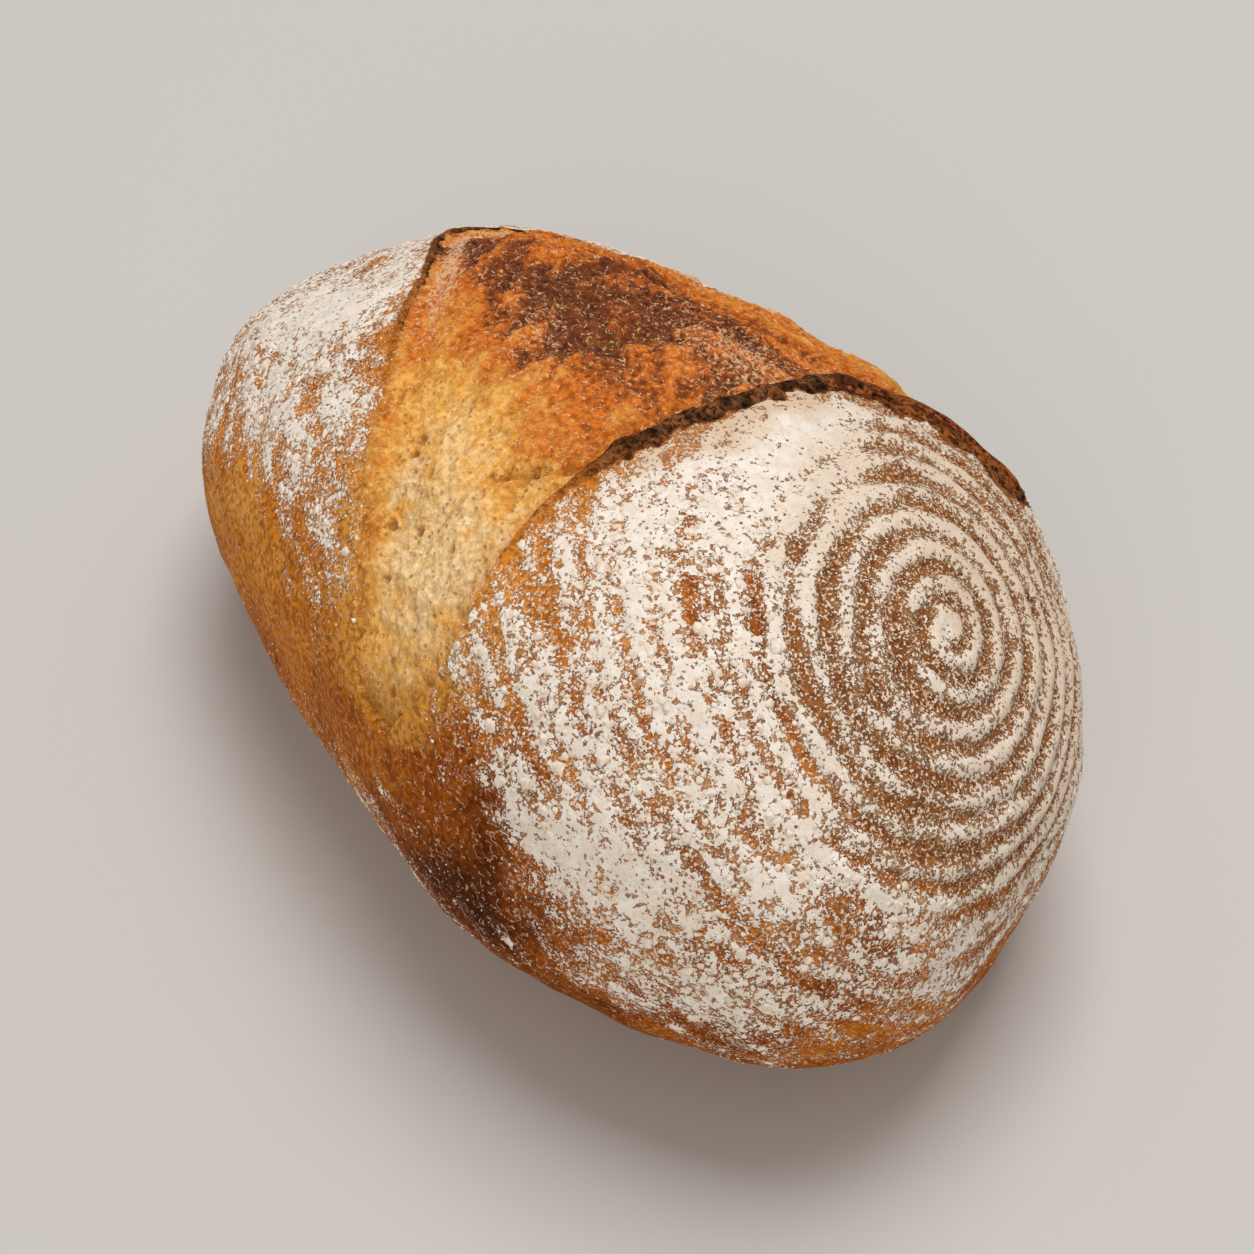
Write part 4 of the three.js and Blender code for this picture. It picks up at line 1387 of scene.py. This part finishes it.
class Nodes:
    """A short hand for building a material's node tree."""

    def __init__(self, name):
        self.material = bpy.data.materials.new(name)
        self.material.use_nodes = True
        self.tree = self.material.node_tree
        self.shader = self.tree.nodes["Principled BSDF"]
        self.coordinates = self.tree.nodes.new("ShaderNodeTexCoord").outputs["Object"]

    def put(self, node, name, value):
        """Sets one input, by name or number, to a value or a link."""
        if isinstance(value, bpy.types.NodeSocket):
            self.tree.links.new(value, node.inputs[name])
        else:
            node.inputs[name].default_value = value

    def math(self, operation, *values):
        """One math node on up to three values."""
        node = self.tree.nodes.new("ShaderNodeMath")
        node.operation = operation
        for index, value in enumerate(values):
            self.put(node, index, value)
        return node.outputs[0]

    def product(self, first, second):
        """Two values multiplied."""
        return self.math("MULTIPLY", first, second)

    def stirred(self, value, noise, amount):
        """A value with a noise added: value + (noise - 0.5) * amount."""
        return self.math("MULTIPLY_ADD", self.math("SUBTRACT", noise, 0.5), amount, value)

    def shifted(self, distance):
        """The coordinates moved, so that a second noise differs from the first."""
        node = self.tree.nodes.new("ShaderNodeVectorMath")
        self.put(node, 0, self.coordinates)
        node.inputs[1].default_value = (distance, distance, distance)
        return node.outputs[0]

    def noise(self, size_mm, detail=3.0, roughness=0.55, distortion=0.0, vector=None):
        """Blender's noise, with its features a given size in mm."""
        node = self.tree.nodes.new("ShaderNodeTexNoise")
        self.put(node, "Vector", vector or self.coordinates)
        self.put(node, "Scale", 1 / (size_mm * MM))
        self.put(node, "Detail", detail)
        self.put(node, "Roughness", roughness)
        self.put(node, "Distortion", distortion)
        return node.outputs["Fac"]

    def cells(self, size_mm):
        """Blender's cell noise: the distance to the nearest point, and that point's number."""
        node = self.tree.nodes.new("ShaderNodeTexVoronoi")
        self.put(node, "Vector", self.coordinates)
        self.put(node, "Scale", 1 / (size_mm * MM))
        split = self.tree.nodes.new("ShaderNodeSeparateColor")
        self.put(split, 0, node.outputs["Color"])
        return node.outputs["Distance"], split.outputs[0]

    def window(self, value, low, high, to_low=0.0, to_high=1.0):
        """Maps a value from low..high to to_low..to_high with a smooth step."""
        node = self.tree.nodes.new("ShaderNodeMapRange")
        node.interpolation_type = "SMOOTHSTEP"
        for index, number in enumerate((value, low, high, to_low, to_high)):
            self.put(node, index, number)
        return node.outputs[0]

    def mix(self, share, first, second, blend_type="MIX"):
        """Mixes two colours by a share."""
        node = self.tree.nodes.new("ShaderNodeMix")
        node.data_type = "RGBA"
        node.blend_type = blend_type
        self.put(node, 0, share)
        self.put(node, 6, first)
        self.put(node, 7, second)
        return node.outputs[2]

    def tinted(self, colours, tint):
        """A colour multiplied by a tint."""
        return self.mix(1.0, colours, (*tint, 1.0), "MULTIPLY")

    def two_tints(self, share, colours, dark, light):
        """A colour mottled between a dark tint of itself and a light one."""
        return self.mix(share, self.tinted(colours, dark), self.tinted(colours, light))

    def curls(self, size_mm, amount):
        """Thin short curls: the line where a noise crosses its middle, cut by another."""
        line = self.math("SUBTRACT", self.noise(size_mm, 0.5, 0.5, 0.6), 0.5)
        line = self.window(self.math("ABSOLUTE", line), 0.045, 0.015)
        cut = self.window(self.noise(size_mm * 1.1, 0.5, vector=self.shifted(0.13)), 0.515, 0.575)
        return self.product(self.product(line, cut), amount)

    def attribute(self, name, output="Fac"):
        """Reads a painted attribute."""
        node = self.tree.nodes.new("ShaderNodeAttribute")
        node.attribute_name = name
        return node.outputs[output]

    def finish(self, base, roughness, specular, height, depth_mm):
        """Links colour, roughness and a bump so many mm deep to the shader."""
        self.put(self.shader, "Base Color", base)
        self.put(self.shader, "Roughness", roughness)
        self.shader.inputs["Specular IOR Level"].default_value = specular
        bump = self.tree.nodes.new("ShaderNodeBump")
        self.put(bump, "Height", height)
        bump.inputs["Distance"].default_value = depth_mm * MM
        self.put(self.shader, "Normal", bump.outputs["Normal"])
        return self.material


def socket_colour(*levels):
    """A colour socket's value from screen levels."""
    return (*shade(*levels), 1.0)


def dress(piece, material):
    """Gives a piece its material."""
    piece.data.materials.append(material)
    print(piece.name, "wears", material.name, "of", len(material.node_tree.nodes), "nodes")


print("noise with features of 1 mm has a scale of", round(1 / MM))

# %% [markdown]
# ## The crust's finish
#
# The painted leaning says only roughly where flour lies. Three noises, from clumps to chips,
# stir it, and where the sum is over nought there is flour. Bare crust is mottled, with a thin
# film of dust, a dark rim of painted shade by the flour's edge, and pale curls. On the ear it
# is charred.

# %% The crust's material
FLOUR_LIGHT = socket_colour(239, 231, 222)
FLOUR_CREAM = socket_colour(230, 216, 200)
FLOUR_CHIPPED = socket_colour(196, 166, 138)
FLOUR_RUBBED = socket_colour(206, 174, 140)
DUST_FILM = socket_colour(208, 172, 132)
CRUST_CURL = socket_colour(214, 178, 144)
# painted shade: the tint of the dark rim on bare crust just outside the flour's edge
FLOUR_EDGE_SHADE_TINT = (0.42, 0.36, 0.30)
CRUST_TINTS = ((0.58, 0.49, 0.40), (1.36, 1.36, 1.26))
CHAR_TINTS = ((0.26, 0.22, 0.20), (1.6, 1.5, 1.35))


def stirred_leaning(nodes, leaning, rings, chip):
    """The leaning and three noises. The two coarser ones are weaker where the rings are, so
    that the rings stay clear."""
    clump = nodes.noise(4.6, 1, 0.5)
    flake = nodes.noise(2.0, 2, 0.5, vector=nodes.shifted(0.21))
    value = nodes.stirred(leaning, clump, nodes.window(rings, 0.0, 1.0, 1.8, 0.5))
    value = nodes.stirred(value, flake, nodes.window(rings, 0.0, 1.0, 3.0, 1.7))
    return nodes.stirred(value, chip, 3.6)


def whole_flour(nodes, value):
    """Where flour lies, from 0 to 1: over nought, but not in the small cells that chipped."""
    near, number = nodes.cells(1.7)
    chipped = nodes.product(nodes.window(near, 0.26, 0.16), nodes.window(number, 0.76, 0.80))
    return nodes.product(nodes.window(value, -0.06, 0.08), nodes.math("SUBTRACT", 1.0, chipped))


def flour_specks(nodes, leaning, rings):
    """Small specks of flour on crust that is nearly bare, from 0 to 1."""
    speck = nodes.window(nodes.noise(0.75, 1, 0.6, vector=nodes.shifted(0.77)), 0.57, 0.62)
    speckled = nodes.math("MULTIPLY_ADD", rings, 0.9, leaning)
    return nodes.product(speck, nodes.window(speckled, -1.3, -0.3, 0.0, 0.9))


def bare_crust(nodes, painted, scorch, char):
    """The painted colour, mottled and with curls, and patchy black where it is scorched."""
    mottle = nodes.window(nodes.noise(1.5, 4, 0.65), 0.32, 0.66)
    bare = nodes.two_tints(mottle, painted, *CRUST_TINTS)
    bare = nodes.mix(nodes.curls(1.5, 0.75), bare, CRUST_CURL)
    charred = nodes.two_tints(nodes.window(char, 0.40, 0.58), painted, *CHAR_TINTS)
    return nodes.mix(scorch, bare, charred)


def flour_colour(nodes, chip):
    """Off-white flour with cream clouds, brownish in its chips and where it is rubbed thin."""
    cloudy = nodes.window(nodes.noise(3.2, 3), 0.35, 0.65)
    flour = nodes.mix(cloudy, FLOUR_LIGHT, FLOUR_CREAM)
    flour = nodes.mix(nodes.window(chip, 0.46, 0.34, 0.0, 0.35), flour, FLOUR_CHIPPED)
    return nodes.mix(nodes.product(nodes.attribute("strip"), 0.75), flour, FLOUR_RUBBED)


def crust_material():
    """Flour over dusted crust, with painted shade on the bare crust by the flour's edge. Flour
    and char also stand out a little as bump.
    """
    nodes = Nodes("floured_crust")
    leaning = nodes.attribute("leaning")
    rings = nodes.attribute("rings")
    scorch = nodes.attribute("scorch")
    painted = nodes.attribute("bare", "Color")
    chip = nodes.noise(0.95, 2, 0.6)
    char = nodes.noise(1.5, 3, 0.7, vector=nodes.shifted(0.51))
    value = stirred_leaning(nodes, leaning, rings, chip)
    flour = whole_flour(nodes, value)
    dust = nodes.noise(0.8, 3, 0.7, vector=nodes.shifted(0.37))
    film = nodes.window(nodes.stirred(leaning, dust, 3.0), -0.9, 0.6, 0.0, 0.5)
    # painted shade: bare crust darkens just outside the flour's edge, as if shaded by its thickness
    edge = nodes.product(nodes.window(value, -0.7, -0.08), 0.55)
    dusted = nodes.mix(film, bare_crust(nodes, painted, scorch, char), DUST_FILM)
    dusted = nodes.mix(edge, dusted, nodes.tinted(painted, FLOUR_EDGE_SHADE_TINT))
    cover = nodes.math("MAXIMUM", flour, flour_specks(nodes, leaning, rings))
    base = nodes.mix(cover, dusted, flour_colour(nodes, chip))
    roughness = nodes.math("MULTIPLY_ADD", flour, 0.3, 0.62)
    height = nodes.math("MULTIPLY_ADD", flour, 0.8, nodes.product(chip, 0.5))
    height = nodes.math("MULTIPLY_ADD", nodes.product(scorch, char), 2.4, height)
    return nodes.finish(base, roughness, 0.04, height, 0.45)


dress(crust, crust_material())

# %% [markdown]
# ## The crumb's finish
#
# The crumb is softly mottled where it stayed golden, and strongly where it browned. The mesh
# holds its folds and holes, so the material adds only what is finer: pores under a millimetre
# and a half, a dusting that fell in from the crust, and small curls of torn skin. Pores, pits,
# holes and tears are darkened as painted shade.

# %% The crumb's material
PORE_SHADE_COLOUR = socket_colour(164, 104, 40)
PIT_SHADE_COLOUR = socket_colour(146, 84, 22)
FALLEN_DUST = socket_colour(232, 186, 146)
CRUMB_CURL = socket_colour(240, 198, 142)
SOFT_TINTS = ((0.80, 0.70, 0.56), (1.14, 1.15, 1.18))
TORN_TINTS = ((0.56, 0.44, 0.34), (1.75, 1.60, 1.35))


def crumb_material():
    """Golden and soft in front, browned on the dome: the painted colour, mottled, with pores
    and pits darkened as painted shade, dust and small curls."""
    nodes = Nodes("torn_crumb")
    painted = nodes.attribute("bare", "Color")
    mottle = nodes.window(nodes.noise(1.7, 4, 0.6), 0.34, 0.66)
    browned = nodes.window(nodes.attribute("bake"), 0.42, 0.7)
    soft_grain = nodes.two_tints(mottle, painted, *SOFT_TINTS)
    base = nodes.mix(browned, soft_grain, nodes.two_tints(mottle, painted, *TORN_TINTS))
    near, number = nodes.cells(1.5)
    pores = nodes.product(nodes.window(near, 0.42, 0.15), nodes.window(number, 0.6, 0.7))
    pores = nodes.product(pores, nodes.attribute("soft"))
    # painted shade: the small pores are darker
    base = nodes.mix(nodes.product(pores, 0.5), base, PORE_SHADE_COLOUR)
    # painted shade: pits, holes, named pores and tears are darker
    base = nodes.mix(nodes.product(nodes.attribute("pit"), 0.75), base, PIT_SHADE_COLOUR)
    dusty = nodes.stirred(nodes.attribute("dust"), nodes.noise(1.1, 3, 0.65), 2.6)
    base = nodes.mix(nodes.window(dusty, 0.45, 0.75, 0.0, 0.75), base, FALLEN_DUST)
    base = nodes.mix(nodes.curls(1.3, 0.7), base, CRUMB_CURL)
    fine = nodes.noise(0.9, 3, 0.65)
    height = nodes.math("SUBTRACT", fine, nodes.product(pores, 0.5))
    return nodes.finish(base, 0.62, 0.15, height, 0.7)


dress(crumb, crumb_material())

# %% [markdown]
# ## The loose flour's finish
#
# Flakes and grains are a few millimetres across at most, so a plain matte flour colour with a
# little unevenness is enough. Their shape does the rest.

# %% The loose flour's material
FLAKE_LIGHT = socket_colour(240, 229, 216)
FLAKE_DARK = socket_colour(222, 202, 182)


def flake_material():
    """Plain matte flour, a little uneven."""
    nodes = Nodes("loose_flour")
    tone = nodes.noise(1.2, 2)
    base = nodes.mix(nodes.window(tone, 0.35, 0.65), FLAKE_LIGHT, FLAKE_DARK)
    return nodes.finish(base, 0.9, 0.2, tone, 0.3)


for piece in (flakes, grains):
    dress(piece, flake_material())

# %% [markdown]
# ## The pieces on the body
#
# The pieces ride on the one body and stand for its one solid.

# %% The pieces ride on the loaf
for piece, slot in ((crust, "crust"), (crumb, "crumb"), (flakes, "flour"), (grains, "flour")):
    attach(piece, "root")
    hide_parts("loaf")
